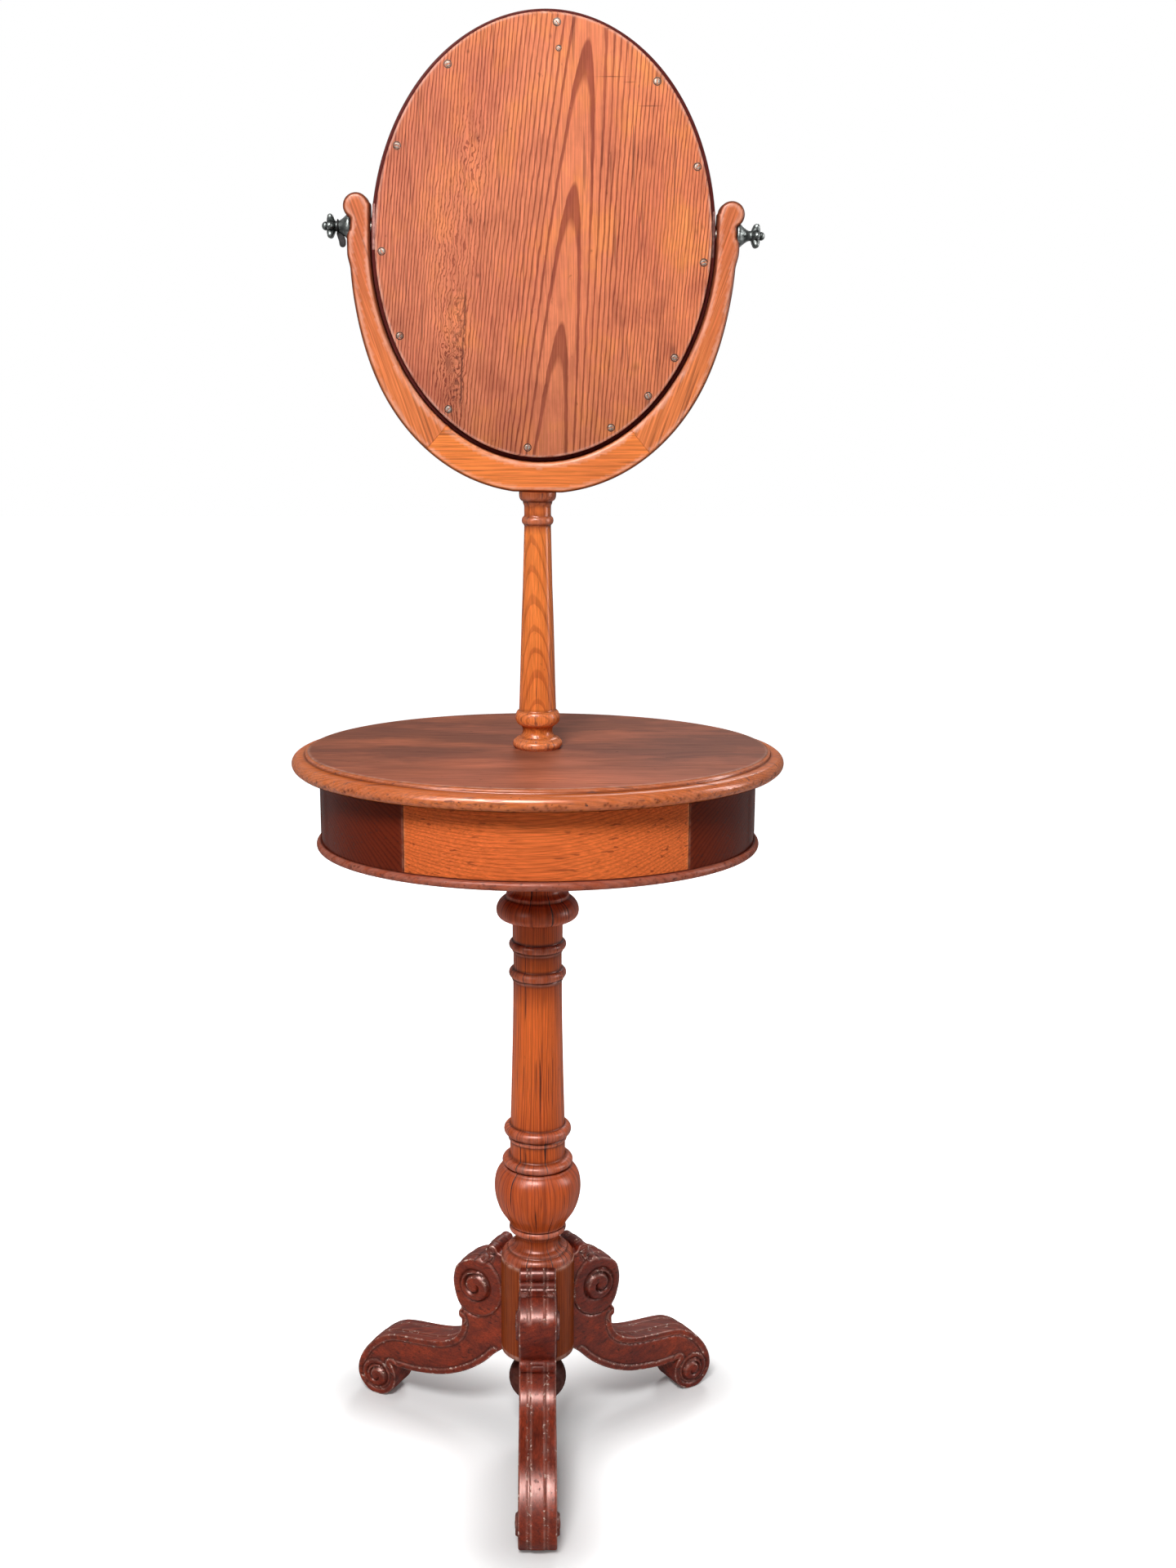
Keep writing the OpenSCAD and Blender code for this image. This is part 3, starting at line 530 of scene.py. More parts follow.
def wood(name, early, late, tone, ring=4.0, pith=(0, 60), lean=(0, 0), origin=(0, 0, 0), turn=(0, 0, 0),
         radial=0, wander=5.0, wave=0.7, jitter=0.0, uneven=1.5, contrast=0.8, late_from=0.55, late_soft=0.25,
         fade=(0.55, 1.0), fibre=0.22, shift=None, tint=None, stains=None, cracks=0.5, crack_level=0.63,
         crack_scale=(0.30, 0.30, 0.008), crack_depth=1.0, relief=0.16, rough=0.36, gloss_rough=0.16,
         spec=0.06, spots=0.25, chips=0.0, worn_and_lit=(0.72, 0.38, 0.26), worn_and_lit_share=0.75,
         grime_and_shade=(0.05, 0.012, 0.008)):
    """Varnished wood: rings of a log about its pith, fibres, cracks, stain, wear and dirt, and the painted
    highlights and painted shade that its marks carry.

    The rings stand ring mm apart about pith, which leans with height. radial lays them round a turned
    piece of that radius instead. wander, wave and jitter bend them in large, middling and small waves of so
    many mm. shift bends them further, tint multiplies the colour, and stains darken it.
    """
    s = new_material(name)
    spot = s.place(origin, turn)
    slow = s.noise(spot, (1 / 90, 1 / 90, 1 / 280), 2)
    quick = s.noise(spot, (1 / 16, 1 / 16, 1 / 85), 2)
    bend = s.plus(s.times(s.less(slow, 0.5), 2 * wander), s.times(s.less(quick, 0.5), 2 * wave))
    if jitter:
        small = s.noise(spot, (1 / 5, 1 / 5, 1 / 24), 4)
        bend = s.plus(bend, s.times(s.less(small, 0.5), 2 * jitter))
    if shift:
        bend = s.plus(bend, shift(s, spot))
    parts = s.add("SeparateXYZ", [spot])
    x, y, z = (parts.node.outputs[k] for k in range(3))
    along = spot
    if radial:
        around = s.math("ARCTAN2", x, s.times(y, -1.0))
        arc_length = s.times(around, radial)
        along = s.add("CombineXYZ", [s.plus(arc_length, s.times(bend, 0.15)), 7.0, z])
        radius = s.plus(arc_length, s.plus(bend, 200.0))
    else:
        u = s.plus(s.less(x, s.scaled(z, lean[0], pith[0])), bend)
        v = s.less(y, s.scaled(z, -lean[1], pith[1]))
        radius = s.math("SQRT", s.plus(s.times(u, u), s.times(v, v)))
    years = s.math("DIVIDE", radius, ring)
    if uneven:
        spacing = s.add("TexNoise", {"Vector": s.add("CombineXYZ", [s.times(years, 0.4), 3.1, 7.7]),
                                     "Scale": 1.0, "Detail": 1.0})
        years = s.plus(years, s.times(spacing, uneven))
    share = s.math("FRACT", years)
    line = s.ramp(share, [(0.0, 0.95), (0.035, 0.12), (0.35, 0.0), (late_from, 0.12),
                          (late_from + late_soft, 0.9), (0.97, 1.0)])
    fine = s.noise(along, (0.8, 0.8, 0.022), 5, 0.62)
    broad = s.noise(spot, (1 / 55, 1 / 55, 1 / 130), 3, 0.55)
    faded = s.ramp(broad, [(0.3, fade[0]), (0.7, fade[1])])
    amount = s.times(s.times(line, contrast), faded)
    colour = s.mix(amount, rgb(*early), rgb(*late))
    colour = s.mix(s.ramp(s.noise(spot, (1 / 70, 1 / 70, 1 / 110), 3), [(0.38, 0.0), (0.68, 0.75)]),
                   colour, s.mix(0.5, colour, rgb(*tone)))
    if tint:
        colour = s.mix(1.0, colour, tint(s, spot, x, z), "MULTIPLY")
    streak = s.scaled(s.less(fine, 0.5), 2 * fibre * 1.6, 1.0)
    colour = s.mix(1.0, colour, s.add("CombineColor", [streak, streak, streak]), "MULTIPLY")
    split = s.ramp(s.noise(along, crack_scale, 2, 0.45), [(crack_level, 0.0), (crack_level + 0.05, 1.0)])
    split = s.times(split, cracks)
    if stains:
        split = s.most(split, stains(s, spot, x, z))
    colour = s.mix(split, colour, rgb(*grime_and_shade))
    speck = s.ramp(s.noise(spot, (0.16, 0.16, 0.10), 2, 0.5), [(0.72, 0.0), (0.76, 1.0)])
    colour = s.mix(s.times(speck, spots), colour, rgb(*grime_and_shade))
    broken = s.ramp(s.noise(spot, (0.12, 0.12, 0.06), 4, 0.65), [(0.34, 0.15), (0.6, 1.0)])
    # the wear mark also holds painted highlights, painted in the worn colour, and the dirt mark painted
    # shade, painted in the grime colour
    wear_and_highlight = s.times(s.times(s.mark("wear_and_highlight"), broken), worn_and_lit_share)
    colour = s.mix(wear_and_highlight, colour, rgb(*worn_and_lit))
    colour = s.mix(s.times(s.mark("dirt_and_shade"), 0.85), colour, rgb(*grime_and_shade))
    if chips:
        bare = s.ramp(s.noise(spot, (0.22, 0.22, 0.15), 3, 0.6), [(0.60, 0.0), (0.66, 1.0)])
        bare = s.times(s.times(bare, s.mark("wear_and_highlight")), chips, clamp=True)
        colour = s.mix(bare, colour, rgb(0.80, 0.60, 0.50))
    gloss = s.plus(s.scaled(fine, gloss_rough, rough - gloss_rough / 2), s.times(split, 0.3), clamp=True)
    facing = s.ramp(s.add("LayerWeight", {"Blend": 0.5}, output=1),
                    [(0.0, 1.0), (0.40, 0.7), (0.72, 0.05), (0.9, 0.0)])
    height = s.less(s.scaled(fine, 0.12, s.times(line, 0.3)), s.times(split, crack_depth))
    normal = s.add("Bump", {"Strength": 0.6, "Distance": relief * MM, "Height": height})
    return s.finish(Base_Color=colour, Roughness=gloss, Normal=normal,
                    Specular_IOR_Level=s.times(facing, spec), Specular_Tint=rgb(*GLOSS_TINT))


def dull_metal(name, colour, dark, rough, grain=0.5):
    s = new_material(name)
    spot = s.place()
    cloud = s.noise(spot, (0.25, 0.25, 0.25), 4, 0.6)
    fine = s.noise(spot, (1.8, 1.8, 1.8), 3, 0.6)
    shade = s.mix(s.ramp(cloud, [(0.35, 0.0), (0.7, 1.0)]), rgb(*colour), rgb(*dark))
    shade = s.mix(s.times(s.mark("dirt_and_shade"), 0.8), shade, rgb(*[c * 0.25 for c in dark]))
    gloss = s.scaled(cloud, 0.25, rough - 0.1, clamp=True)
    normal = s.add("Bump", {"Strength": grain, "Distance": 0.15 * MM, "Height": fine})
    return s.finish(Base_Color=shade, Metallic=1.0, Roughness=gloss, Normal=normal)


def silvered_glass():
    s = new_material("silvered_glass")
    spot = s.place()
    haze = s.noise(spot, (0.02, 0.02, 0.02), 3, 0.6)
    foxing = s.ramp(s.noise(spot, (0.09, 0.09, 0.09), 4, 0.6), [(0.70, 0.0), (0.80, 0.6)])
    colour = s.mix(foxing, rgb(0.86, 0.88, 0.89), rgb(0.20, 0.17, 0.15))
    gloss = s.scaled(haze, 0.03, 0.0)
    return s.finish(Base_Color=colour, Metallic=1.0, Roughness=gloss)


def blob(s, spot, centre, reach, axes=(0, 2)):
    """1 at a centre in mm on two of the axes, fading to 0 at about its reach."""
    middle, scale = [0, 0, 0], [0, 0, 0]
    for axis, at, size in zip(axes, centre, reach):
        middle[axis], scale[axis] = at, 1 / size
    away = s.vector("MULTIPLY", s.vector("SUBTRACT", spot, middle), scale)
    return s.fading(s.add("VectorMath", [away, away], output=1, operation="DOT_PRODUCT"))


def swirls(*places):
    """Pushes the grain aside round spots, each a [x, z], a reach and a push in mm."""
    def shift(s, spot):
        coarse = s.less(s.noise(spot, (0.10, 0.10, 0.05), 3, 0.6), 0.45)
        total = 0.0
        for centre, reach, push in places:
            total = s.plus(total, s.times(blob(s, spot, centre, reach), push))
        return s.times(total, coarse)
    return shift


BOARD_MIDDLE = in_mirror([(0, 0, 0)])[0]

# Dark spots, knots and scratches of the back board: [x, z] from its middle, reach, and how dark
BOARD_SPOTS = [
    ((-71.6, 18.4), (1.6, 4.5), 0.75), ((-64.7, -33.8), (2.0, 2.4), 0.6), ((106, -158), (3.2, 8.0), 0.6),
    ((93.5, -122.6), (3.5, 3.5), 0.35), ((98, -5), (1.6, 4.0), 0.25), ((-64.7, 97), (3.5, 4.5), 0.45),
    ((-59, 103), (1.5, 7), 0.35), ((-121, 131), (2.4, 9), 0.35), ((-145, 97), (3.0, 10), 0.4),
    ((113, 153), (4.5, 7.0), 0.5), ((139, 124), (1.4, 5), 0.35), ((6.9, 190), (1.1, 2.2), 0.5),
    ((-73, 176), (1.3, 1.6), 0.6), ((-142, -80), (5.0, 14), 0.35), ((131, -106), (3.0, 5.0), 0.5),
    ((-96, -118), (5.5, 9), 0.45), ((-92, -60), (4.0, 10), 0.3), ((152, 8), (1.2, 3), 0.4),
    ((158, 12), (1.2, 3), 0.4), ((66, 82), (1.2, 1.6), 0.4), ((48, -10), (1.0, 1.2), 0.5),
    ((104, 126), (9, 0.5), 0.7), ((67, 153), (12, 0.45), 0.7), ((84, 148), (5, 0.4), 0.7)]


def board_stains(s, spot, x, z):
    """The old crack in the left of the board, its ragged edge, and the dark spots."""
    ragged = s.less(s.noise(spot, (0.2, 0.2, 0.16), 3, 0.6), 0.5)
    off = s.plus(s.less(x, s.scaled(z, 0.060, -74.5)), s.times(ragged, 5.0))
    length = s.ramp(s.scaled(z, 1 / 200, 1.0), [(0.15, 0.0), (0.22, 1.0), (0.72, 0.8), (0.80, 0.0)])
    thin = s.times(off, 0.9)
    crack = s.fading(s.times(thin, thin))
    side = s.scaled(off, 0.13, 0.75)
    side = s.fading(s.times(side, side), 1.6)
    teeth = s.ramp(s.noise(spot, (0.20, 0.20, 0.24), 3, 0.55), [(0.50, 0.0), (0.60, 0.75)])
    found = [s.times(blob(s, spot, centre, reach), dark) for centre, reach, dark in BOARD_SPOTS]
    return s.times(s.most(s.times(length, s.most(crack, s.times(side, teeth))), *found), 0.9)


def board_tint(s, spot, x, z):
    """Redder and darker to the left, orange patches mostly to the right, and painted shade darkening it
    towards the bottom.
    """
    across = s.ramp(s.scaled(x, 1 / 360, 0.5), [(0.0, 0.0), (1.0, 1.0)])
    hue = s.mix(across, rgb(0.90, 0.92, 1.04), rgb(1.09, 1.06, 0.96))
    # painted shade: the board darker towards its bottom, where less light falls
    up = s.ramp(s.scaled(z, 1 / 430, 0.5), [(0.0, 0.68), (0.30, 0.96), (1.0, 1.0)])
    cloud = s.noise(spot, (1 / 42, 1 / 42, 1 / 60), 4, 0.6)
    orange = s.times(s.ramp(cloud, [(0.50, 0.0), (0.66, 1.0)]), s.scaled(across, 0.7, 0.25))
    hue = s.mix(orange, hue, rgb(1.20, 1.30, 0.85))
    hue = s.mix(s.ramp(cloud, [(0.34, 0.55), (0.47, 0.0)]), hue, rgb(0.72, 0.66, 0.75))
    return s.mix(1.0, hue, up, "MULTIPLY")


def top_tint_and_sheen(s, spot, x, z):
    """The top, with pale patches here and there and a painted sheen, a painted reflection, in front of the
    column; its grain runs along z.
    """
    patch = s.noise(spot, (0.02, 0.022, 0.008), 4, 0.6)
    pale = s.ramp(patch, [(0.45, 0.0), (0.72, 0.6)])
    # painted reflection: pale blobs where the varnish would shine, in front of the column
    for centre, reach, level in (((-84, -48), (32, 70), 1.0), ((-70, 40), (30, 60), 0.55),
                                 ((-150, 0), (60, 190), 0.8)):
        near = blob(s, spot, centre, reach, (1, 2))
        pale = s.most(pale, s.times(near, s.scaled(patch, 1.4 * level, 0.3 * level)))
    return s.mix(pale, rgb(0.86, 0.92, 0.98), rgb(2.15, 2.05, 1.90))


def banded(*stops):
    """A tint that follows the height: (height from the wood's origin, colour) stops."""
    low, high = stops[0][0], stops[-1][0]

    def tint(s, spot, x, z):
        share = s.scaled(z, 1 / (high - low), -low / (high - low), clamp=True)
        return s.ramp(share, [((at - low) / (high - low), colour) for at, colour in stops])
    return tint


def leg_tint(s, spot, x, z):
    """Stain worn through to redder wood in places, and nearly black in others."""
    cloud = s.noise(spot, (1 / 12, 1 / 12, 1 / 50), 5, 0.66)
    hue = s.mix(s.ramp(cloud, [(0.34, 1.0), (0.50, 0.0)]), rgb(1, 1, 1), rgb(0.60, 0.54, 0.60))
    return s.mix(s.ramp(cloud, [(0.50, 0.0), (0.66, 1.0)]), hue, rgb(1.5, 1.4, 1.2))


post_tint = banded(
    (-110, (0.50, 0.43, 0.52)), (-88, (0.54, 0.47, 0.56)), (-76, (1, 1, 1)), (142, (1.0, 1.0, 1.0)),
    (152, (0.52, 0.44, 0.58)), (168, (0.72, 0.64, 0.75)), (176, (0.44, 0.38, 0.55)),
    (200, (0.42, 0.38, 0.55)))
pillar_tint = banded(
    (-175, (0.62, 0.55, 0.70)), (-140, (0.75, 0.68, 0.75)), (-128, (0.84, 0.72, 0.70)),
    (-64, (0.84, 0.72, 0.70)), (-60, (0.62, 0.55, 0.65)), (-47, (0.95, 0.90, 0.85)),
    (-26, (0.95, 0.9, 0.85)), (-22, (0.62, 0.55, 0.65)), (-10, (0.98, 0.95, 0.9)), (20, (1.14, 1.14, 1.10)),
    (130, (1.14, 1.14, 1.1)), (156, (0.70, 0.62, 0.70)), (173, (0.95, 0.9, 0.9)), (190, (0.7, 0.62, 0.7)),
    (206, (0.85, 0.78, 0.8)), (226, (0.80, 0.68, 0.75)), (290, (0.78, 0.66, 0.72)))
arm_tint = banded(
    (-260, (1.0, 1.0, 1.0)), (-80, (1.0, 1.0, 1.0)), (-20, (0.95, 0.92, 0.98)), (50, (0.88, 0.84, 0.98)))
board_wood = wood(
    "board_pine", (0.73, 0.228, 0.108), (0.17, 0.028, 0.020), (0.46, 0.110, 0.068), ring=3.0, jitter=1.3,
    late_soft=0.08, pith=(26.2, 38.83), lean=(0.092, -0.0225), origin=BOARD_MIDDLE, wander=3.0, wave=1.3,
    contrast=0.95, fibre=0.42, cracks=0.45, crack_level=0.66, rough=0.46, relief=0.5,
    worn_and_lit=(0.86, 0.50, 0.40), spots=0.3, uneven=0.0, late_from=0.70, fade=(0.65, 1.0), stains=board_stains,
    tint=board_tint, spec=0.02, grime_and_shade=(0.075, 0.022, 0.02),
    shift=swirls(((-70, 85), (16, 45), 16), ((-92, 0), (26, 60), 12), ((-92, -110), (13, 60), 30)))
YOKE = dict(
    early=(0.70, 0.202, 0.064), late=(0.38, 0.075, 0.026), tone=(0.55, 0.134, 0.046), ring=3.6, wander=3,
    contrast=0.45, cracks=0.4, worn_and_lit=(0.95, 0.62, 0.50), grime_and_shade=(0.055, 0.010, 0.008), fibre=0.45,
    origin=BOARD_MIDDLE, spec=0.09, worn_and_lit_share=0.35, rough=0.32)
left_arm_wood = wood("left_arm_pine", pith=(-60, 70), turn=(0, 19, 0), tint=arm_tint, **YOKE)
right_arm_wood = wood("right_arm_pine", pith=(70, 70), turn=(0, -19, 0), tint=arm_tint, **YOKE)
bow_wood = wood("bow_pine", pith=(330, 60), turn=(0, -90, 0), **{**YOKE, "early": (0.84, 0.232, 0.052)})
post_wood = wood(
    "post_pine", (0.81, 0.214, 0.045), (0.24, 0.034, 0.011), (0.66, 0.14, 0.03), ring=2.1, pith=(1, 13),
    lean=(0.015, 0.050), origin=(0, 0, 900), wander=2.6, wave=1.4, contrast=0.55, cracks=0.7, late_from=0.72,
    late_soft=0.08, jitter=0.8, worn_and_lit=(0.90, 0.50, 0.40), grime_and_shade=(0.04, 0.008, 0.006), spec=0.12,
    fade=(0.6, 1.0), fibre=0.42, worn_and_lit_share=0.35, rough=0.26, tint=post_tint)
pillar_wood = wood(
    "pillar_pine", (0.62, 0.118, 0.022), (0.15, 0.020, 0.007), (0.40, 0.062, 0.016), ring=3.8, radial=34,
    origin=(0, 0, 400), wander=8, wave=2.6, cracks=1.0, crack_level=0.625, crack_scale=(0.42, 0.42, 0.010),
    late_from=0.68, late_soft=0.12, jitter=0.5, worn_and_lit=(0.90, 0.52, 0.45), rough=0.34, spec=0.17,
    grime_and_shade=(0.014, 0.004, 0.003), fibre=0.42, uneven=3.4, fade=(0.35, 1.0), worn_and_lit_share=0.32, crack_depth=1.6,
    tint=pillar_tint)
drum_wood = wood(
    "drum_pine", (0.33, 0.066, 0.015), (0.10, 0.014, 0.005), (0.22, 0.036, 0.011), ring=2.8, radial=41,
    origin=(0, 0, 160), wander=3, wave=0.8, contrast=0.9, cracks=0.7, crack_scale=(0.5, 0.5, 0.01),
    worn_and_lit=(0.80, 0.50, 0.40), grime_and_shade=(0.02, 0.005, 0.004), fibre=0.4, worn_and_lit_share=0.5)
top_wood = wood(
    "top_wood", (0.240, 0.076, 0.044), (0.150, 0.045, 0.028), (0.32, 0.095, 0.045), ring=5.0,
    pith=(-120, -70), lean=(0.012, -0.006), origin=(0, 0, TABLE_Z), turn=ALONG_X, wander=10, wave=2.0,
    jitter=0.8, contrast=0.55, cracks=0.35, crack_level=0.66, rough=0.40, worn_and_lit=(0.85, 0.50, 0.36), spots=0.7,
    tint=top_tint_and_sheen, grime_and_shade=(0.04, 0.010, 0.008), spec=0.15, fibre=0.55)
edge_wood = wood(
    "edge_wood", (0.60, 0.150, 0.036), (0.28, 0.048, 0.015), (0.46, 0.10, 0.030), ring=3.4, pith=(-60, -70),
    origin=(0, 0, TABLE_Z), turn=ALONG_X, wander=12, contrast=0.5, cracks=0.6, rough=0.24, spec=0.16,
    worn_and_lit=(0.95, 0.64, 0.52), spots=0.9, grime_and_shade=(0.04, 0.008, 0.006), worn_and_lit_share=0.22, fibre=0.35)
front_wood = wood(
    "front_pine", (0.72, 0.155, 0.037), (0.26, 0.034, 0.010), (0.60, 0.11, 0.025), ring=3.3, pith=(78, 60),
    lean=(-0.10, 0.0), origin=(-20, -150, BASE_TOP), turn=ALONG_X, wander=6, wave=1.6, contrast=0.62,
    jitter=0.5, cracks=0.55, crack_level=0.65, rough=0.34, worn_and_lit=(0.80, 0.42, 0.22),
    grime_and_shade=(0.06, 0.010, 0.006), fibre=0.45, spec=0.08, late_from=0.58, fade=(0.35, 1.0), worn_and_lit_share=0.5)
# The frieze's curved ends: a much darker copy of the front's pine, painted shade for the sides turned away
# from the lamps.
shaded_end_wood = wood(
    "end_pine_painted_shade", (0.140, 0.018, 0.005), (0.055, 0.006, 0.002), (0.105, 0.012, 0.004), ring=3.6, pith=(60, 60),
    origin=(0, -60, BASE_TOP), turn=ALONG_X, wander=6, contrast=0.75, cracks=0.4, rough=0.18,
    worn_and_lit=(0.42, 0.16, 0.10), grime_and_shade=(0.018, 0.004, 0.003))
bead_wood = wood(
    "bead_wood", (0.34, 0.070, 0.028), (0.16, 0.026, 0.012), (0.26, 0.05, 0.022), pith=(-60, 40),
    origin=(0, 0, BASE_TOP), turn=ALONG_X, wander=6, contrast=0.7, rough=0.32, spec=0.055,
    worn_and_lit=(0.92, 0.58, 0.50), grime_and_shade=(0.03, 0.007, 0.006), worn_and_lit_share=0.22)
LEG = dict(
    early=(0.125, 0.0145, 0.007), late=(0.050, 0.006, 0.004), tone=(0.34, 0.048, 0.014), ring=5.0,
    pith=(30, 40), origin=(0, 0, 120), wander=12, contrast=0.6, cracks=0.6, rough=0.36, spec=0.22,
    worn_and_lit=(0.48, 0.25, 0.20), grime_and_shade=(0.012, 0.003, 0.002), chips=1.4, worn_and_lit_share=0.6, gloss_rough=0.24,
    relief=0.10, fibre=0.7, tint=leg_tint)
side_leg_wood = wood("side_leg_mahogany", turn=ALONG_X, **LEG)
front_leg_wood = wood("front_leg_mahogany", turn=ALONG_Y, **LEG)
bun_wood = wood(
    "bun_mahogany", (0.075, 0.016, 0.010), (0.040, 0.009, 0.006), (0.06, 0.012, 0.008), pith=(6, 20),
    contrast=0.6, rough=0.30, worn_and_lit=(0.32, 0.14, 0.11))
rim_wood = wood(
    "rim_wood", (0.085, 0.012, 0.010), (0.045, 0.006, 0.005), (0.11, 0.018, 0.015), ring=5.0, pith=(-60, 60),
    origin=BOARD_MIDDLE, wander=8, contrast=0.5, cracks=0.2, rough=0.34, spec=0.03, worn_and_lit_share=0.08,
    worn_and_lit=(0.30, 0.13, 0.13), grime_and_shade=(0.02, 0.004, 0.004))
bare_wood = wood(
    "bare_pine", (0.66, 0.44, 0.24), (0.46, 0.26, 0.12), (0.55, 0.36, 0.20), pith=(-60, 50), turn=ALONG_X,
    contrast=0.7, cracks=0.2, rough=0.62, worn_and_lit=(0.72, 0.52, 0.32))
pewter = dull_metal("tarnished_pewter", (0.075, 0.080, 0.078), (0.010, 0.011, 0.010), 0.40, grain=0.35)
steel = dull_metal("dull_steel", (0.085, 0.075, 0.065), (0.020, 0.012, 0.009), 0.50)
plate_iron = dull_metal("plate_iron", (0.07, 0.035, 0.03), (0.03, 0.012, 0.01), 0.5)
dark_pewter = dull_metal("dark_pewter", (0.009, 0.008, 0.008), (0.004, 0.004, 0.004), 0.55, grain=0.35)
glass = silvered_glass()


# ------------------------------------------------------------------ turned pieces

def turned(name, line, material, steps=128, step=1.0):
    points, faces, marks = lathe(soften(line, step), steps)
    piece(name, points, faces, "stand", material, marks)


def half_ring(r, out, z0, z1, count=9):
    """A half-round ring of a turned profile."""
    return arc((r, (z0 + z1) / 2), out, (z1 - z0) / 2, -90, 90, count)


DRUM_UNDER = BLOCK_Z + 7.5

PILLAR = [
    (0.5, BLOCK_TOP - 0.3), (40.4, BLOCK_TOP - 0.3), *arc((33.2, 227.2), 7.2, 8.6, 0, 78, 6), (33.6, 236.4),
    (33.4, 238.4), (31.4, 238.9), *arc((31.4, 248.2), 6.6, 9.0, 268, 125, 9), (27.6, 256.4),
    *half_ring(28.6, 3.5, 258.0, 265.8), (31.3, 266.8), (32.0, 269.0), (33.6, 272.0), (36.4, 276.4),
    (39.8, 281.4), (42.8, 287), (45.1, 293), (46.9, 299.5), (48.0, 306), (48.4, 313), (47.9, 320),
    (46.6, 326), (44.4, 330.8), (41.6, 334.4), (38.6, 336.8), (38.0, 337.8),
    *half_ring(33, 6.5, 338.8, 349.2, 11), (31.4, 350.2), (30.8, 352), (30.7, 368.4), (32.2, 369.2),
    (32.8, 371), (32.0, 373.6), *half_ring(30.6, 6.9, 374.8, 387.4, 11), (30.2, 389.0), (30.0, 396),
    (29.5, 413), (29.0, 432), (28.5, 450), (28.0, 472), (27.5, 492), (27.1, 515), (26.8, 540), (26.8, 555.8),
    (28.0, 556.6), (28.2, 558.2), *half_ring(26.9, 4.5, 559.4, 570), (26.5, 571.6), (26.4, 588.6),
    (27.6, 589.4), (27.8, 591.0), *half_ring(27.2, 4.1, 592.2, 602), (27.3, 603.6), (27.4, 625.8),
    (36, 626.6), (41, 628.4), (44, 631.8), (44.9, 636.2), (44.5, 640), (43.2, 643.4), (41, 646.6),
    (37.6, 649.6), (34.4, 651.2), (34.2, 654.8), (31.6, 656.6), (29.2, 660.4), (28.6, 668), (31.0, 676),
    (36.5, 681), (46, 684.5), (46, 693.5), (0.5, 693.5)]

bun = [p for p in turned_profile("pendant_finial") if p[1] < 97]
bun += [(23, 96.4), (23, 100), (20, 101), (20, DRUM_UNDER + 1), (0.5, DRUM_UNDER + 1)]
turned("pendant_finial", bun, bun_wood)
turned("pillar", PILLAR, pillar_wood, 144, step=0.8)
turned("leg_block", [(0.5, DRUM_UNDER), (BLOCK_R - 11, DRUM_UNDER),
                     *arc((BLOCK_R - 7, DRUM_UNDER + 8), 7, 7, -70, 0, 6),
                     (BLOCK_R, BLOCK_TOP - 0.8), (BLOCK_R - 0.8, BLOCK_TOP), (0.5, BLOCK_TOP)],
       drum_wood, 144)


SEAT_DOWN = 257.5            # from the mirror's pivots down to the yoke's seat


def upper_column():
    """The post, cut at its top by the leaning seat of the yoke."""
    seat = low("yoke_bow").z
    line = [p for p in turned_profile("upper_column") if p[1] < seat - 1.2]
    points, faces, marks = lathe(soften(line + [(line[-1][0], seat + 1.5)]))
    made = piece("upper_column", points, faces, "stand", post_wood, marks)
    b = bmesh.new()
    b.from_mesh(made.data)
    seat_point = Vector((PIVOT[0], AXIS_Y, PIVOT[2])) * MM - Vector(UP) * SEAT_DOWN * MM
    cut = bmesh.ops.bisect_plane(b, geom=b.verts[:] + b.edges[:] + b.faces[:], plane_co=seat_point,
                                 plane_no=Vector(UP), clear_outer=True)
    bmesh.ops.edgeloop_fill(b, edges=[e for e in cut["geom_cut"] if isinstance(e, bmesh.types.BMEdge)])
    b.to_mesh(made.data)
    b.free()


upper_column()


# ------------------------------------------------------------------ oval box

OVAL_STEPS = 1200            # points round the top and the base board
WALL_STEPS = 160             # places along each curved wall
EASED = 0.002                # share of a wall's thickness by which its outer edges are eased


def dented(points, line, steps, seed, count, size, heights):
    """Pushes dents and chips into the points of an oval edge, and says how dark each point is."""
    random = np.random.default_rng(seed)
    dark = np.zeros(len(points))
    rows = points.reshape(len(line), steps, 3)
    shade = dark.reshape(len(line), steps)
    for _ in range(count):
        at = random.integers(steps)
        z = random.uniform(*heights)
        r = random.uniform(*size)
        row = int(np.argmin(np.abs(np.array(line)[:, 1] - z) - 0.01 * np.array(line)[:, 0]))
        centre = rows[row, at].copy()
        near = [(at + k) % steps for k in range(-8, 9)]
        gap = np.linalg.norm(rows[:, near] - centre, axis=2)
        push = np.exp(-(gap / r) ** 2)
        inward = -centre * (1, 1, 0) / np.linalg.norm(centre[:2])
        depth = 0.35 * r * random.uniform(0.5, 1.0)
        rows[:, near] += push[..., None] * inward * depth
        shade[:, near] = np.maximum(shade[:, near], push * random.uniform(0.3, 1.0))
    return dark


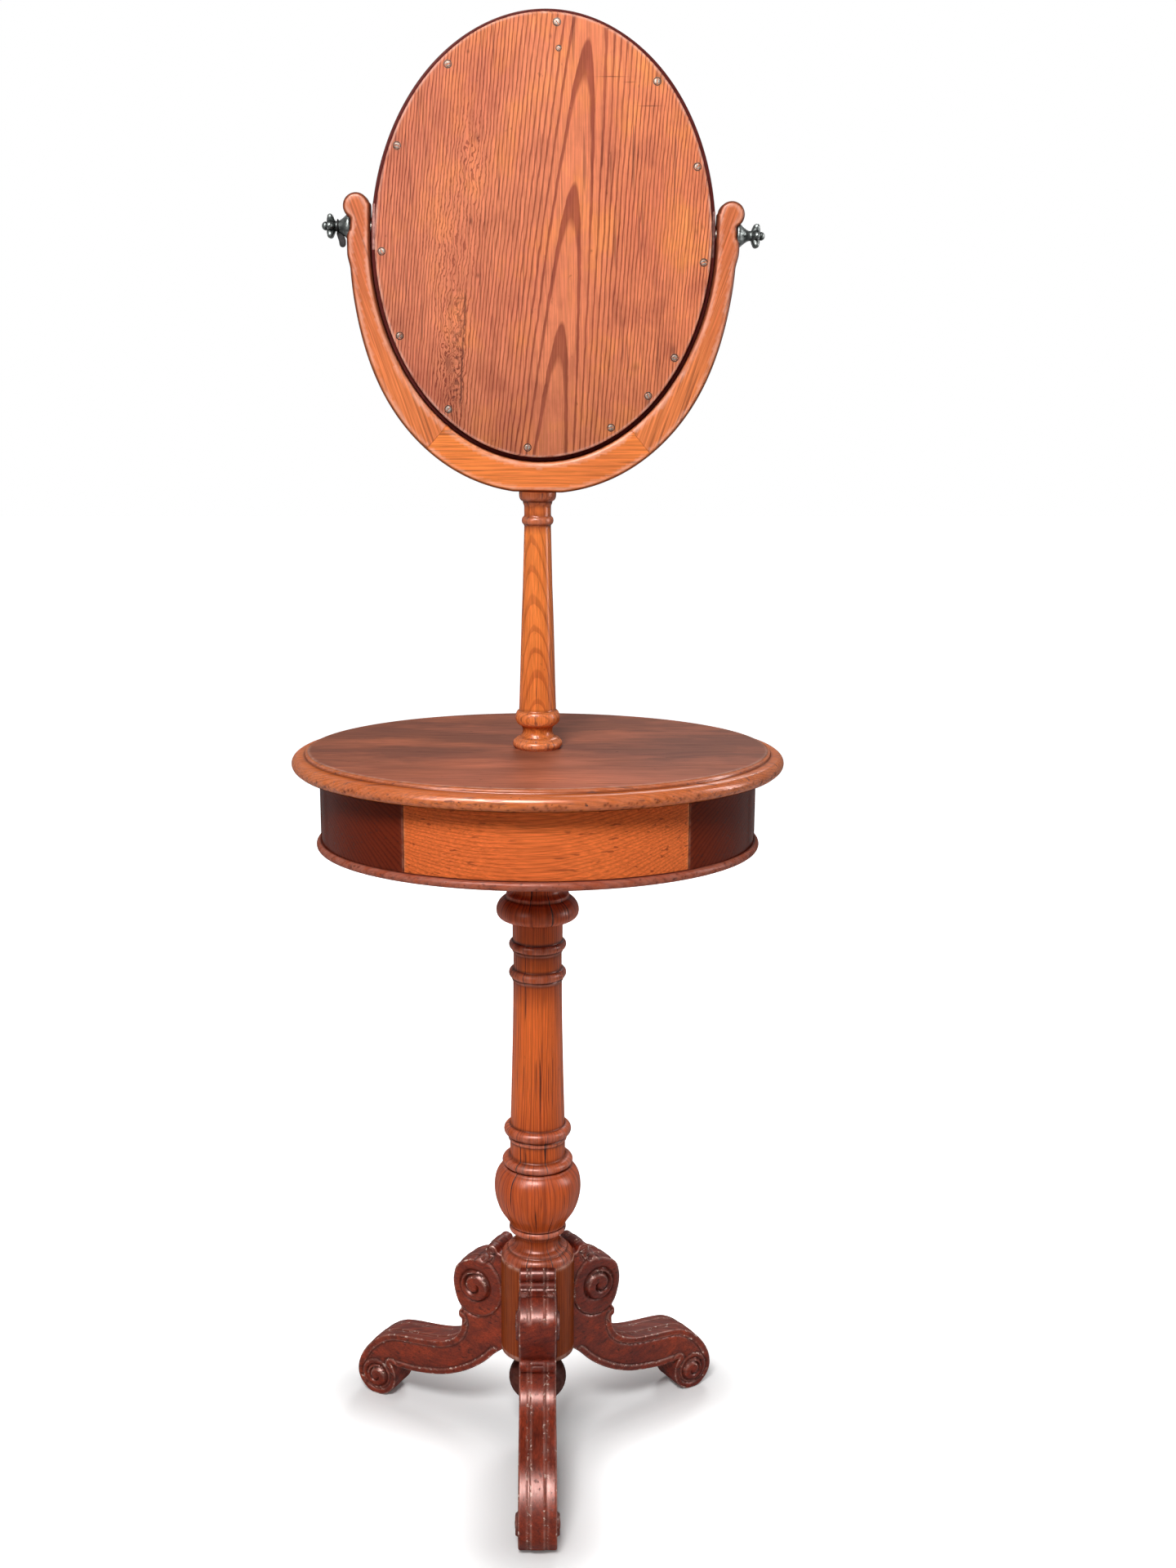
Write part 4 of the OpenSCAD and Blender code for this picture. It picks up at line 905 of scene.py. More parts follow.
def table_top():
    z, t = TOP_UNDER, TABLE_Z - TOP_UNDER
    line = [(-60, z), (EDGE_OUT - 12, z), *arc((EDGE_OUT - 8.5, z + 8), 8.5, 8, -75, 75, 12),
            (5, z + t - 4.5), (4, z + t - 4.5), (3.4, z + t - 1.6), (1.6, z + t - 1.2), (0.4, z + t - 0.2),
            (0, z + t), (-3, z + t), (-8, z + t)]
    line = soften(line, 0.8, 0.45)
    points, faces = oval_loft(FLAT_A, FLAT_B, line, OVAL_STEPS)
    wear_and_highlight, dirt_and_shade = edge_marks(line, 1.2)
    dark = dented(points, line, OVAL_STEPS, 7, 420, (0.7, 1.9), (z + 0.5, z + 9))
    marks = {"wear_and_highlight": np.repeat(wear_and_highlight, OVAL_STEPS), "dirt_and_shade": np.clip(np.repeat(dirt_and_shade, OVAL_STEPS) + dark, 0, 1)}
    made = piece("table_top", points, faces, "stand", top_wood, marks, 30)
    made.data.materials.append(edge_wood)
    moulding = FLAT_A + 1.0
    for face in made.data.polygons:
        x, y, _ = face.center / MM
        reach = math.hypot(x / moulding, (y - AXIS_Y) / (moulding - FLAT_A + FLAT_B))
        if reach > 1 and len(face.vertices) == 4:
            face.material_index = 1


def base_board():
    half = (BASE_TOP - BASE_UNDER) / 2
    line = [(-60, BASE_UNDER), (5 - half, BASE_UNDER),
            *arc((5 - half, BASE_UNDER + half), half, half, -80, 80, 9), (5 - half, BASE_TOP),
            (-24, BASE_TOP)]
    line = soften(line, 0.8, 0.4)
    points, faces = oval_loft(FRIEZE_A, FRIEZE_B, line, OVAL_STEPS)
    wear_and_highlight, dirt_and_shade = edge_marks(line)
    dark = dented(points, line, OVAL_STEPS, 11, 160, (0.6, 1.4), (BASE_UNDER + 1, BASE_TOP - 1))
    seam = np.array([math.exp(-((e - 0.3) / 1.2) ** 2) if z > BASE_TOP - 1 else 0 for e, z in line])
    dirt_and_shade = np.repeat(np.clip(dirt_and_shade + seam, 0, 1), OVAL_STEPS)
    marks = {"wear_and_highlight": np.repeat(wear_and_highlight, OVAL_STEPS), "dirt_and_shade": np.clip(dirt_and_shade + dark, 0, 1)}
    piece("base_board", points, faces, "stand", bead_wood, marks)


def curved_wall(name, start, end, z0, z1, material, body="stand", groove=None):
    """A wall of the oval between two places [x, half], where half is -1 in front and 1 behind.

    groove is a finger groove in its upper edge: its half width, and where it ends below and behind.
    """
    def angles(a):
        found = [math.degrees(half * math.acos(x / a)) for x, half in (start, end)]
        if found[1] < found[0]:
            found[1] += 360
        return found
    outer, inner = angles(FRIEZE_A), angles(FRIEZE_A - WALL)
    stations = np.concatenate([[0, 0.0012], np.linspace(0, 1, WALL_STEPS)[1:-1], [0.9988, 1]])
    if groove:
        x_at = FRIEZE_A * np.cos(np.radians(outer[0] + (outer[1] - outer[0]) * stations))
        for x in (-groove["half"], groove["half"]):
            k = int(np.argmin(np.abs(x_at - x)))
            stations = np.sort(np.append(stations, stations[k] + 1e-4))
    rows, wear_and_highlight, dirt_and_shade = [], [], []
    for share in stations:
        to = math.radians(outer[0] + (outer[1] - outer[0]) * share)
        ti = math.radians(inner[0] + (inner[1] - inner[0]) * share)
        tip = 0.35 if share in (0, 1) else 0
        out = np.array([(FRIEZE_A - tip) * math.cos(to), (FRIEZE_B - tip) * math.sin(to)])
        into = np.array([(FRIEZE_A - WALL) * math.cos(ti), (FRIEZE_B - WALL) * math.sin(ti)])
        heights = np.linspace(z0 + 0.4, z1 - 0.4, 9)
        row = [(*(out * (1 - EASED) + into * EASED), z0)]
        row += [(*out, z) for z in heights]
        cut = out
        if groove and abs(out[0]) < groove["half"]:
            row[-2] = (*out, groove["z"])
            cut = np.array([out[0], max(out[1], groove["y"])])
            row[-1] = (*cut, groove["z"])
        row += [(*(cut * (1 - EASED) + into * EASED), z1), (*into, z1), (*into, z0)]
        rows.append(row)
        ends = math.exp(-min(share, 1 - share) * (outer[1] - outer[0]) * 4)
        wear_and_highlight += [0.3] + [ends] * len(heights) + [0.3, 0, 0]
        dirt_and_shade += [0.6] + [0.0] * (len(heights) - 1) + [0.3, 0.6, 0, 0]
    piece(name, np.array(rows).reshape(-1, 3), tube_faces(len(rows), len(rows[0])), body, material,
          {"wear_and_highlight": wear_and_highlight, "dirt_and_shade": dirt_and_shade}, 30)


FRONT_LEFT, FRONT_RIGHT, BACK_SEAM = 134, 152, 140      # the walls' seams, from the middle
FRONT_GAP = 0.6                                         # round the drawer's front
table_top()
base_board()
# the two ends take the painted-shade copy of the pine
curved_wall("frieze_left", (-BACK_SEAM, 1), (-FRONT_LEFT, -1), BASE_TOP, TOP_UNDER, shaded_end_wood)
curved_wall("frieze_right", (FRONT_RIGHT, -1), (BACK_SEAM, 1), BASE_TOP, TOP_UNDER, shaded_end_wood)
curved_wall("frieze_back", (BACK_SEAM, 1), (-BACK_SEAM, 1), BASE_TOP, TOP_UNDER, front_wood)
curved_wall("drawer_front", (FRONT_GAP - FRONT_LEFT, -1), (FRONT_RIGHT - FRONT_GAP, -1), BASE_TOP + FRONT_GAP,
            TOP_UNDER - FRONT_GAP, front_wood, "drawer",
            {"half": 55, "z": TOP_UNDER - FRONT_GAP - 5, "y": -FRIEZE_B + 6})


# ------------------------------------------------------------------ legs

def spiral(points, centre, reach, turns, rise, width):
    """Height, lightening and darkening of a carved spiral boss round a centre: painted highlights on the
    upper side of its rim and lips, its groove darkened, and painted shade in the moat round it.
    """
    away = points - centre
    r = np.hypot(away[:, 0], away[:, 1])
    angle = np.arctan2(away[:, 1], away[:, 0]) / (2 * math.pi)
    pitch = reach / turns
    share = (reach - r) / pitch + angle
    ring = (share - np.floor(share) - 0.5) * pitch
    swell = smooth_step(r, reach, reach - 2.2)
    inner = smooth_step(r, reach - 0.4, reach - 1.6) * smooth_step(r, 2.5, 5.0)
    groove = np.exp(-(ring / width) ** 2) * inner
    height = swell * rise * (0.75 + 0.25 * (1 - r / reach)) - 0.72 * rise * groove
    # painted highlight: the rim and the lips lighter on their upper side only
    rim = np.exp(-((r - reach + 1.8) / 0.8) ** 2) * smooth_step(away[:, 1], -4, 6)
    lip = np.exp(-((ring - width - 1.0) / 0.7) ** 2) * inner * smooth_step(away[:, 1], -8, 4)
    # the moat round the boss, cut in and darkened as painted shade
    moat = np.exp(-((r - reach - 0.8) / 1.2) ** 2)
    return height - 1.4 * moat, np.clip(0.8 * (rim + lip), 0, 1), np.clip(groove + 0.9 * moat, 0, 1)


def bead_line(gap, at, width=0.8):
    """1 on a line at that distance, fading over its width."""
    return np.exp(-((gap - at) / width) ** 2)


# The leg's incised lines: distance from its upper and lower outline, and from the scrolls' centres
LINE_OVER, LINE_UNDER = 9.6, 8.2
VOLUTE_R, TOE_R, CURL_R = 34.6, 19.6, 5.4
SPIRALS = ((VOLUTE_BOSS, 18.5, 1.35, 4.6, 1.7),      # centre, reach, turns, rise and groove's width
           (FOOT_BOSS, 13.5, 1.3, 3.6, 1.2))


def leg_relief(outline):
    """The carving of a leg's sides: incised lines along its outline, and spirals in its scrolls."""
    ahead = np.roll(outline, -1, axis=0) - np.roll(outline, 1, axis=0)
    upward = (np.stack([ahead[:, 1], -ahead[:, 0]], 1) @ (0.5, 0.87)) > 0
    free = outline[:, 0] > BLOCK_R + 4
    over, under = outline[upward & free], outline[~upward & free]

    def relief(points):
        to_over, to_under = nearest(points, over), nearest(points, under)
        gap = np.minimum(to_over, to_under)
        to_volute = np.linalg.norm((points - VOLUTE) / (1, 1.12), axis=1)
        to_foot = np.linalg.norm(points - FOOT, axis=1)
        stem = smooth_step(to_volute, 35.5, 38) * smooth_step(to_foot, 19.5, 21.5)
        stem = stem * smooth_step(points[:, 1], 235, 215)
        line = np.maximum(bead_line(to_over, LINE_OVER, 1.0), bead_line(to_under, LINE_UNDER, 1.0)) * stem
        circle = bead_line(to_volute, VOLUTE_R, 1.1) * smooth_step(gap, 2.0, 4.0)
        toe = bead_line(to_foot, TOE_R, 1.0) * smooth_step(gap, 2.5, 5.0)
        eye = np.linalg.norm(points - TOP_SCROLL, axis=1)
        curl = bead_line(eye, CURL_R, 1.0) * smooth_step(points[:, 1], 210, 222)
        height = -1.5 * line - 1.9 * circle - 1.6 * toe - 1.6 * curl
        height += 0.9 * smooth_step(to_volute, 33, 30) * smooth_step(to_volute, 19, 23)
        lip = np.maximum(bead_line(to_over, LINE_OVER - 1.4, 0.7), bead_line(to_under, LINE_UNDER - 1.4, 0.7))
        light = 0.95 * lip * stem + 0.6 * bead_line(to_volute, VOLUTE_R - 1.6, 0.7)
        light += 0.7 * bead_line(to_foot, TOE_R - 1.6, 0.7) + 0.7 * bead_line(eye, CURL_R - 1.6)
        dark = 0.8 * (line + circle + curl + toe)
        for boss in SPIRALS:
            # the spirals add their painted highlights and painted shade
            raised, worn_and_lit, darkened = spiral(points, *boss)
            height, light, dark = height + raised, light + worn_and_lit, dark + darkened
        return height, np.clip(light, 0, 1), np.clip(dark, 0, 1)
    return relief


def leg_rim(line, outward, share):
    """Depth, wear and darkening of the three bands along a leg's back, with a V groove each side of the
    middle.
    """
    on = smooth_step(outward @ np.array((0.82, 0.57)), -0.15, 0.1)
    z = line[:, 1]
    near = line[:, 0] > 60
    bulge = smooth_step(z, 198, 190) * smooth_step(z, 141, 146) * near
    on = on * (1 - bulge)
    groove = math.exp(-((abs(share) - 0.44) / 0.06) ** 2)
    side = 0.8 * float(smooth_step(abs(share), 0.44, 0.52))
    lip = math.exp(-((abs(share) - 0.35) / 0.05) ** 2) + 0.7 * math.exp(-((abs(share) - 0.54) / 0.05) ** 2)
    valley = np.linalg.norm(line - (58.5, 214), axis=1)
    ear = np.linalg.norm(line - (65, 213.5), axis=1)
    out = float(smooth_step(abs(share), 0.42, 0.56) * smooth_step(abs(share), 1.02, 0.9))
    notch = bead_line(z, 139.5, 1.2) * near * (abs(share) < 0.4) + bead_line(valley, 0, 2.4)
    curl = bead_line(ear, 0, 3.4) * out
    ditch = bead_line(ear, 6.2, 1.2) * (valley > 4)
    dim = np.clip(0.3 * on * groove + 0.6 * notch + 0.8 * ditch, 0, 1)
    bow = 1.4 * (abs(share) ** 2.5) * bulge
    depth = on * (1.3 * groove + side) * (1 - curl) + 1.5 * notch + bow - 2.6 * curl + 0.9 * ditch
    return depth, np.clip(on * 0.75 * lip + 0.5 * curl, 0, 1), dim


SCROLL_DROP = 6.5            # how much lower the photo's top scroll stands than the frame's
NARROWER = 3.0               # how much nearer to the drum the volute's front stands


def leg(name, turn):
    line = flat_outline("front_leg", 0, LEG_HALF) * (-1, 1)
    line[:, 1] -= SCROLL_DROP * smooth_step(line[:, 1], 192, 220)
    line[:, 0] -= NARROWER * smooth_step(line[:, 0], 60, 95) * smooth_step(line[:, 1], 140, 165)
    at_drum = line[:, 0] < BLOCK_R + 0.5
    line[at_drum, 0] = BLOCK_R - 8
    outline = turned_left(soften(line, 1.6, 0.8, 40, closed=True))
    points, faces, marks = slab(outline, LEG_HALF, 2.2, grid=1.5, relief=leg_relief(outline), rim=leg_rim)
    placed = np.stack([*spun(points[:, 0], points[:, 1], turn), np.maximum(points[:, 2], 0)], 1)
    material = front_leg_wood if name == "front_leg" else side_leg_wood
    piece(name, placed, faces, "stand", material, marks, 50)


for leg_name, leg_turn in LEG_TURNS.items():
    leg(leg_name, leg_turn)


# ------------------------------------------------------------------ yoke

YOKE_IN = (173.5, 218.8)     # half width and half height of the yoke's ovals
YOKE_OUT = (195.5, 249.5)
YOKE_ROUND = 4.2             # radius of its rounded edges
JOINT_SOFT = 0.04            # share of that radius on the ends that meet at a joint
NARROWING = 2.4              # how much nearer to the mirror the arms' outer edge stands in the photo
INNER_GROWTH = 1.1           # how much nearer to the mirror the rounded inner edge stands


def yoke_piece(name, material):
    outline = flat_outline(name, 1, -YOKE_HALF)
    line = turned_left(soften(outline, 2.0, 0.7, 40, closed=True))
    centre = BOARD_MIDDLE[[0, 2]]
    for corner in outline[(np.abs(turns_of(outline, True)) > 40) & (outline[:, 1] < centre[1] - 30)]:
        away = np.linalg.norm(line - corner, axis=1)
        line[np.argmin(away)] = corner
        line = line[(away > 2.5) | (away == away.min())]
    flat = line - centre
    reach = np.linalg.norm(flat / YOKE_IN, axis=1)
    near_in = (np.abs(reach - 1) < 0.012)[:, None]
    line = line - flat / np.linalg.norm(flat, axis=1)[:, None] * INNER_GROWTH * near_in
    outer = smooth_step(np.linalg.norm(flat / YOKE_OUT, axis=1), 0.975, 0.99)
    outer = outer * smooth_step(flat[:, 1], -185, -60) * smooth_step(flat[:, 1], -12, -28)
    line[:, 0] -= np.sign(flat[:, 0]) * NARROWING * outer
    ahead = np.roll(line, -1, axis=0) - line
    middle = line + ahead / 2 - centre
    radial = np.abs((ahead * middle).sum(axis=1))
    radial = radial / np.linalg.norm(ahead, axis=1) / np.linalg.norm(middle, axis=1)
    softness = np.where((radial > 0.6) & (middle[:, 1] < -30), JOINT_SOFT, 1.0)
    before = np.roll(softness, 1)
    corner = softness != before
    beside = (softness < 0.5) & (before < 0.5) & (nearest(line, line[corner]) < 7) & ~corner
    line, softness = line[~beside], softness[~beside]
    # The yoke's rounding gets painted shade towards the sides, a lighter band near the face, and a painted
    # highlight on the upper-facing edges of the bow and the lower arms.
    points, faces, marks = slab(line, YOKE_HALF, YOKE_ROUND, softness=softness, grid=3.0, steps=8,
                                painted_edge_shade=0.9, worn_and_lit_at=5, painted_highlight_below=centre[1] - 40)
    piece(name, points, faces, "stand", material, marks, 40)


yoke_piece("yoke_bow", bow_wood)
yoke_piece("yoke_left_arm", left_arm_wood)
yoke_piece("yoke_right_arm", right_arm_wood)


# ------------------------------------------------------------------ mirror

RIM_STEPS = 360              # points round the back board
FRAME_STEPS = 320            # and round the frame
FRAME_GROWTH = 0.9           # how much further out the frame's edge stands, towards the yoke
TOP_EASE = 0.05              # how far the frame's top stays inside the solid's


def mirror_frame():
    """The frame's section [past the oval, depth] carried round the oval, with no growth at its top."""
    out = FRAME_GROWTH
    section = [(-19, FRAME_BACK), (out - 0.8, FRAME_BACK), (out, FRAME_BACK + 1), (out, 5),
               *arc((out - 9, 5), 9, 9, 8, 90, 10), (-16, 14), (-18, 11),
               *arc((-26, 14), 8, 7.5, -20, -80, 5), (-26, 5.5), (-26, 4), (-19, 4)]
    line = soften(section, 0.8, 0.5, closed=True)
    angles = np.radians(np.arange(FRAME_STEPS) * 360 / FRAME_STEPS)
    top = smooth_step(np.sin(angles), 0.6, 1.0)
    rows = [np.stack([(MIRROR_A + e) * np.cos(angles), np.full(FRAME_STEPS, y),
                      (MIRROR_B + e - (max(e, 0) + TOP_EASE) * top) * np.sin(angles)], 1) for e, y in line]
    count = len(line) * FRAME_STEPS
    faces = [(a, b, c % count, d % count) for a, b, c, d in band_faces(len(line) + 1, FRAME_STEPS)]
    wear_and_highlight, dirt_and_shade = edge_marks(line, 1.2, closed=True)
    if area_of(line) < 0:
        wear_and_highlight, dirt_and_shade = dirt_and_shade, wear_and_highlight
    marks = {"wear_and_highlight": np.repeat(wear_and_highlight, FRAME_STEPS), "dirt_and_shade": np.repeat(dirt_and_shade, FRAME_STEPS)}
    piece("mirror_frame", in_mirror(np.vstack(rows)), faces, "mirror", rim_wood, marks)


def back_board():
    """The board behind the glass, with a softly rounded edge."""
    back, front = FRAME_BACK - BOARD_T, FRAME_BACK
    line = [(-30, front), (-BOARD_IN, front), (-BOARD_IN, back + 2),
            *arc((-BOARD_IN - 2, back + 2), 2, 2, -10, -90, 5), (-BOARD_IN - 6, back), (-30, back)]
    line = soften(line, 0.7, 0.35)
    points, faces = oval_loft(MIRROR_A, MIRROR_B, line, RIM_STEPS)
    wear_and_highlight, _ = edge_marks(line[::-1], 1.3)
    piece("mirror_backboard", in_mirror(points[:, [0, 2, 1]]), faces, "mirror", board_wood,
          {"wear_and_highlight": np.repeat(wear_and_highlight[::-1], RIM_STEPS)}, 30)


SCREW_ANGLES = (87, 127, 48, 155, 21, 184, 355, 208, 327, 235, 313, 297, 266)
SCREW_RING = 0.94            # the screws' ring, as a share of the oval
HEAD_R = 3.0
PIN = ((10.7, MIRROR_B - 37), 2.0)   # the small screw below the top one: place and head
HEAD_Y = FRAME_BACK - BOARD_T - 0.12
SLOT_HALF = 0.42
SHANK_STEPS = 32


def screw_head(centre, r, turn):
    """A countersunk head with a slot, as points [x, y, z] about the mirror's middle, and faces."""
    slot = SLOT_HALF / r
    half = (slot, slot * 1.02, 0.35, 0.6, 0.85, 0.98)
    stations = [-x for x in reversed(half)] + list(half)
    grid = []
    for x in stations:
        reach = math.sqrt(1 - x * x)
        for y in np.linspace(-1, 1, 9):
            out = math.hypot(x, y * reach)
            depth = 0.45 if abs(x) <= slot else 0.25 * max(0, out - 0.8) / 0.2
            grid.append((x * r, y * reach * r, depth))
    across, along, depth = np.array(grid).T
    x, z = spun(across, along, turn)
    return np.stack([centre[0] + x, HEAD_Y + depth, centre[1] + z], 1), band_faces(len(stations), 9, False)


def back_screws():
    places = [((MIRROR_A * SCREW_RING * math.cos(t), MIRROR_B * SCREW_RING * math.sin(t)), HEAD_R)
              for t in np.radians(SCREW_ANGLES)] + [PIN]
    ring = np.radians(np.arange(SHANK_STEPS) * 360 / SHANK_STEPS)
    points, faces, dark = [], [], []
    for k, (centre, r) in enumerate(places):
        head, quads = screw_head(centre, r, 40 + 71 * k)
        profile = ((r + 1.0, 0.05), (r, 0.0), (r, 2.0), (r * 0.45, 4.0), (0.4, 12))
        shank = np.vstack([np.stack([centre[0] + reach * np.cos(ring), np.full(SHANK_STEPS, HEAD_Y + depth),
                                     centre[1] + reach * np.sin(ring)], 1) for reach, depth in profile])
        faces += moved_on(quads, len(dark))
        faces += band_faces(len(profile), SHANK_STEPS, start=len(dark) + len(head))
        points += [head, shank]
        dark += [0.9 if p[1] > HEAD_Y + 0.32 else 0.0 for p in head] + [1.0] * len(shank)
    piece("backboard_screws", in_mirror(np.vstack(points)), faces, "mirror", steel, {"dirt_and_shade": dark})


mirror_frame()
back_board()
back_screws()


# ------------------------------------------------------------------ knobs

def along_pivot(points, side):
    """Points [x, y, distance from the knob's seat] moved to a pivot of the mirror."""
    p = np.asarray(points, float)
    return in_mirror(np.stack([side * (KNOB_SEAT + p[:, 2]), p[:, 1], PIVOT_UP - side * p[:, 0]], 1))


BELL = [(0.2, 0.2), (11.6, 0.0), (12.2, 1.4), (11.6, 3.2), (10.0, 5.2), (8.2, 7.2), (6.4, 9.6), (5.2, 12.0),
        (4.9, 13.8), (5.8, 15.2), (6.8, 17), (6.8, 21.0), (5.4, 22.8), (3.8, 23.4),
        *arc((0, 24.2), 4.4, 4.2, 0, 88, 8)]
PETAL = [(0.2, 1.0), (4.6, 1.0), (4.5, 4.5), (3.8, 8.0), *arc((0, 9.8), 3.1, 3.4, 0, 88, 8)]
PETALS = 6
STAR_UP = 18.4               # height of the star over the knob's seat


def knob(name, side):
    """A bell against the arm, a short neck, and a soft star of petals with a ball at its end."""
    bell, faces, marks = lathe(soften(BELL, 0.45, 0.35), 64)
    points, dark, total = [bell], [marks["dirt_and_shade"]], len(bell)
    petal, quads, _ = lathe(soften(PETAL, 0.5, 0.5), 32)
    out, sideways, up = petal[:, 2], petal[:, 0] * 1.10, petal[:, 1]
    between = smooth_step(np.abs(np.arctan2(sideways, out)), 0.30, 0.52)
    for k in range(PETALS):
        turned_petal = spun(out, sideways, (k + 0.5) * 360 / PETALS)
        points.append(np.stack([*turned_petal, STAR_UP + up + 0.10 * out], 1))
        faces += moved_on(quads, total)
        dark.append(np.maximum(smooth_step(7.0 - out, 0, 4) * 0.8, between))
        total += len(petal)
    piece(name, along_pivot(np.vstack(points), side), faces, name, pewter,
          {"dirt_and_shade": np.concatenate(dark)})


def knob_wing():
    """The small drooping lever, a leaf with an eye round the left knob's neck."""
    leaf = [*arc((7.6, -17.0), 3.2, 3.2, 180, 350, 9), (11.4, -14), (12.8, -10), (13.6, -7), (13.4, -5.0),
            (8.4, -5.2), (6.2, -9), (4.5, -13)]
    outline = turned_left(soften(leaf, 0.5, 0.5, closed=True))
    points, faces, _ = slab(outline, 1.3, 0.9)
    placed = np.stack([-(KNOB_SEAT + points[:, 0]), points[:, 1], PIVOT_UP + points[:, 2]], 1)
    ring, quads, _ = lathe(soften([(5.0, 11.6), (6.8, 11.6), (7.2, 12.3), (6.8, 13.1), (5.0, 13.1)],
                                  0.3, 0.2), 48)
    eye = np.stack([-(KNOB_SEAT + ring[:, 2]), ring[:, 1], PIVOT_UP + ring[:, 0]], 1)
    piece("left_knob_wing", in_mirror(np.vstack([placed, eye])), faces + moved_on(quads, len(points)),
          "left_knob", dark_pewter)


knob("left_knob", -1)
knob("right_knob", 1)
knob_wing()


# ------------------------------------------------------------------ pieces kept from the frame

KEPT = {
    bare_wood: ("leg_dowels", "centre_post", "glue_blocks", "drawer_guides", "drawer_stops",
                "drawer_left_side", "drawer_right_side", "drawer_back", "drawer_bottom",
                "yoke_joint_dowels", "glass_packing"),
    drum_wood: ("bearer",),
    plate_iron: ("left_pivot_plate", "right_pivot_plate"),
    steel: ("bearer_screws", "pivot_plate_screws", "left_washer", "right_washer", "left_stud", "right_stud"),
    glass: ("mirror_glass",),
}
for material, names in KEPT.items():
    for node in names:
        materials = frame["nodes"][node].data.materials
        materials.clear()
        materials.append(material)


# ------------------------------------------------------------------ studio

CAMERA_PITCH = 13.3
CAMERA_BACK = 1914.4         # from the pillar's axis
CAMERA_UP = 1228.3
FOCAL_PX = 2252.6            # focal length in pixels of the 1440 x 1920 image
PILLAR_PX = 658.3            # where the pillar's axis stands in that image
IMAGE_W, IMAGE_H = 1440, 1920
SENSOR = 36


def camera():
    data = bpy.data.cameras.new("camera")
    data.sensor_width = SENSOR
    data.lens = FOCAL_PX / IMAGE_H * SENSOR
    data.shift_x = (IMAGE_W / 2 - PILLAR_PX) / IMAGE_H
    data.clip_end = 50
    made = bpy.data.objects.new("camera", data)
    made.location = Vector((0, AXIS_Y - CAMERA_BACK, CAMERA_UP)) * MM
    made.rotation_euler = (math.radians(90 - CAMERA_PITCH), 0, 0)
    bpy.context.scene.collection.objects.link(made)
    bpy.context.scene.camera = made


# Name, place in metres, height aimed at, size, power, and whether it shows in gloss alone
LAMPS = (("key", (-0.4, -2.1, 2.7), 0.9, (0.9, 0.7), 78, False),
         ("side_right", (2.3, -0.9, 1.4), 0.9, (0.25, 1.6), 2, False),
         ("side_left", (-2.4, -0.8, 1.4), 0.9, (0.25, 1.6), 2, False),
         ("behind", (0.6, 2.4, 2.2), 0.8, (0.9, 0.7), 26, False),
         ("gloss_top", (-0.55, -1.6, 2.8), 0.6, (1.3, 0.9), 560, True),
         ("gloss_left", (-1.7, -2.0, 2.0), 0.8, (0.35, 1.2), 110, True),
         ("gloss_right", (2.4, -0.2, 1.5), 0.7, (0.30, 1.7), 130, True))
AMBIENT = 0.10               # the world's strength on the object; the background has 1


def area_light(name, place, aim, size, power, gloss_only):
    data = bpy.data.lights.new(name, "AREA")
    data.shape = "RECTANGLE"
    data.size, data.size_y = size
    data.energy = power
    made = bpy.data.objects.new(name, data)
    made.location = place
    made.rotation_euler = (Vector((0, 0, aim)) - Vector(place)).to_track_quat("-Z", "Y").to_euler()
    bpy.context.scene.collection.objects.link(made)
    made.visible_diffuse = not gloss_only


def seen_directly(s):
    """1 for rays that show the background: from the camera, in gloss and through glass."""
    rays = s.add("LightPath").node.outputs
    return s.most(rays["Is Camera Ray"], rays["Is Glossy Ray"], rays["Is Transmission Ray"])


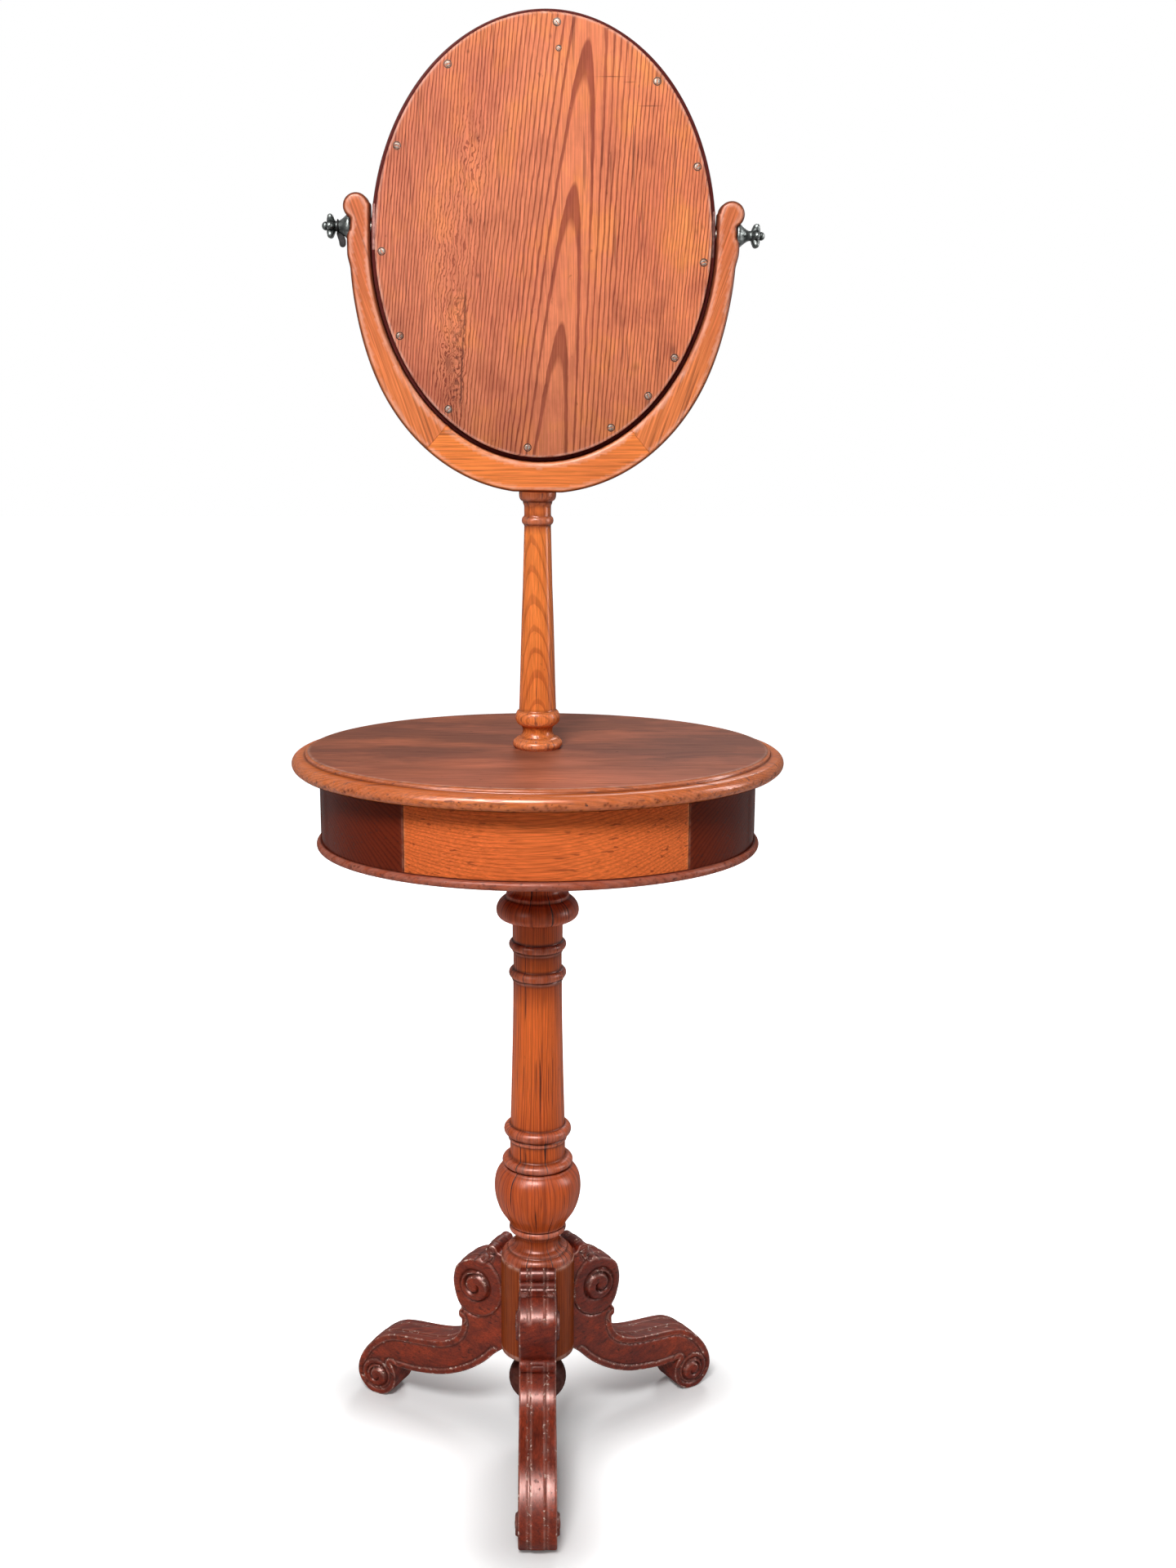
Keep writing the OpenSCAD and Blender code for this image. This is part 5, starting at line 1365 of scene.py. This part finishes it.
def studio():
    world = bpy.data.worlds.new("studio")
    bpy.context.scene.world = world
    s = Nodes(world)
    strength = s.add("MapRange", {"Value": seen_directly(s), "To Min": AMBIENT, "To Max": 1.0})
    s.add("OutputWorld", {"Surface": s.add("Background", {"Color": rgb(1, 1, 1), "Strength": strength})})
    for lamp in LAMPS:
        area_light(*lamp)


FLOOR_HALF = 12              # half of the floor's width, in metres
LEG_REACH = 0.20             # how far from the axis the toes rest on the floor, in metres
SHADOW_REACH = 0.175         # how far from the legs the floor's glow is lowered: a painted shadow round the feet


def to_legs(s, spot):
    """Distance of a place on the floor from the nearest leg, in metres."""
    from_axis = s.vector("SUBTRACT", spot, (0, AXIS_Y * MM, 0))
    found = None
    for turn in LEG_TURNS.values():
        along = (math.cos(math.radians(turn)), math.sin(math.radians(turn)), 0)
        reach = s.add("VectorMath", [from_axis, along], output=1, operation="DOT_PRODUCT")
        reach = s.add("Clamp", {"Value": reach, "Max": LEG_REACH})
        foot = s.add("VectorMath", {0: along, "Scale": reach}, operation="SCALE")
        away = s.add("VectorMath", [from_axis, foot], output=1, operation="DISTANCE")
        found = away if found is None else s.math("SMOOTH_MIN", found, away, 0.05)
    return found


def floor():
    mesh = bpy.data.meshes.new("floor")
    corners = [(x * FLOOR_HALF, y * FLOOR_HALF, 0) for x, y in ((-1, -1), (1, -1), (1, 1), (-1, 1))]
    mesh.from_pydata(corners, [], [(0, 1, 2, 3)])
    made = bpy.data.objects.new("floor", mesh)
    bpy.context.scene.collection.objects.link(made)
    s = new_material("pale_floor_painted_shadow")
    # The floor's glow for direct rays drops near the legs, so besides the real shadow it shows a painted
    # shadow round the feet.
    away = to_legs(s, s.add("TexCoord", output=3))
    level = s.add("MapRange", {"Value": away, "From Max": SHADOW_REACH, "To Min": 0.06, "To Max": 1.0},
                  interpolation_type="SMOOTHSTEP")
    mesh.materials.append(s.finish(
        Base_Color=rgb(0.80, 0.80, 0.80), Roughness=0.9, Specular_IOR_Level=0.1,
        Emission_Color=rgb(1, 1, 1), Emission_Strength=s.times(seen_directly(s), level)))


camera()
studio()
floor()
bpy.context.scene.view_settings.view_transform = "Standard"
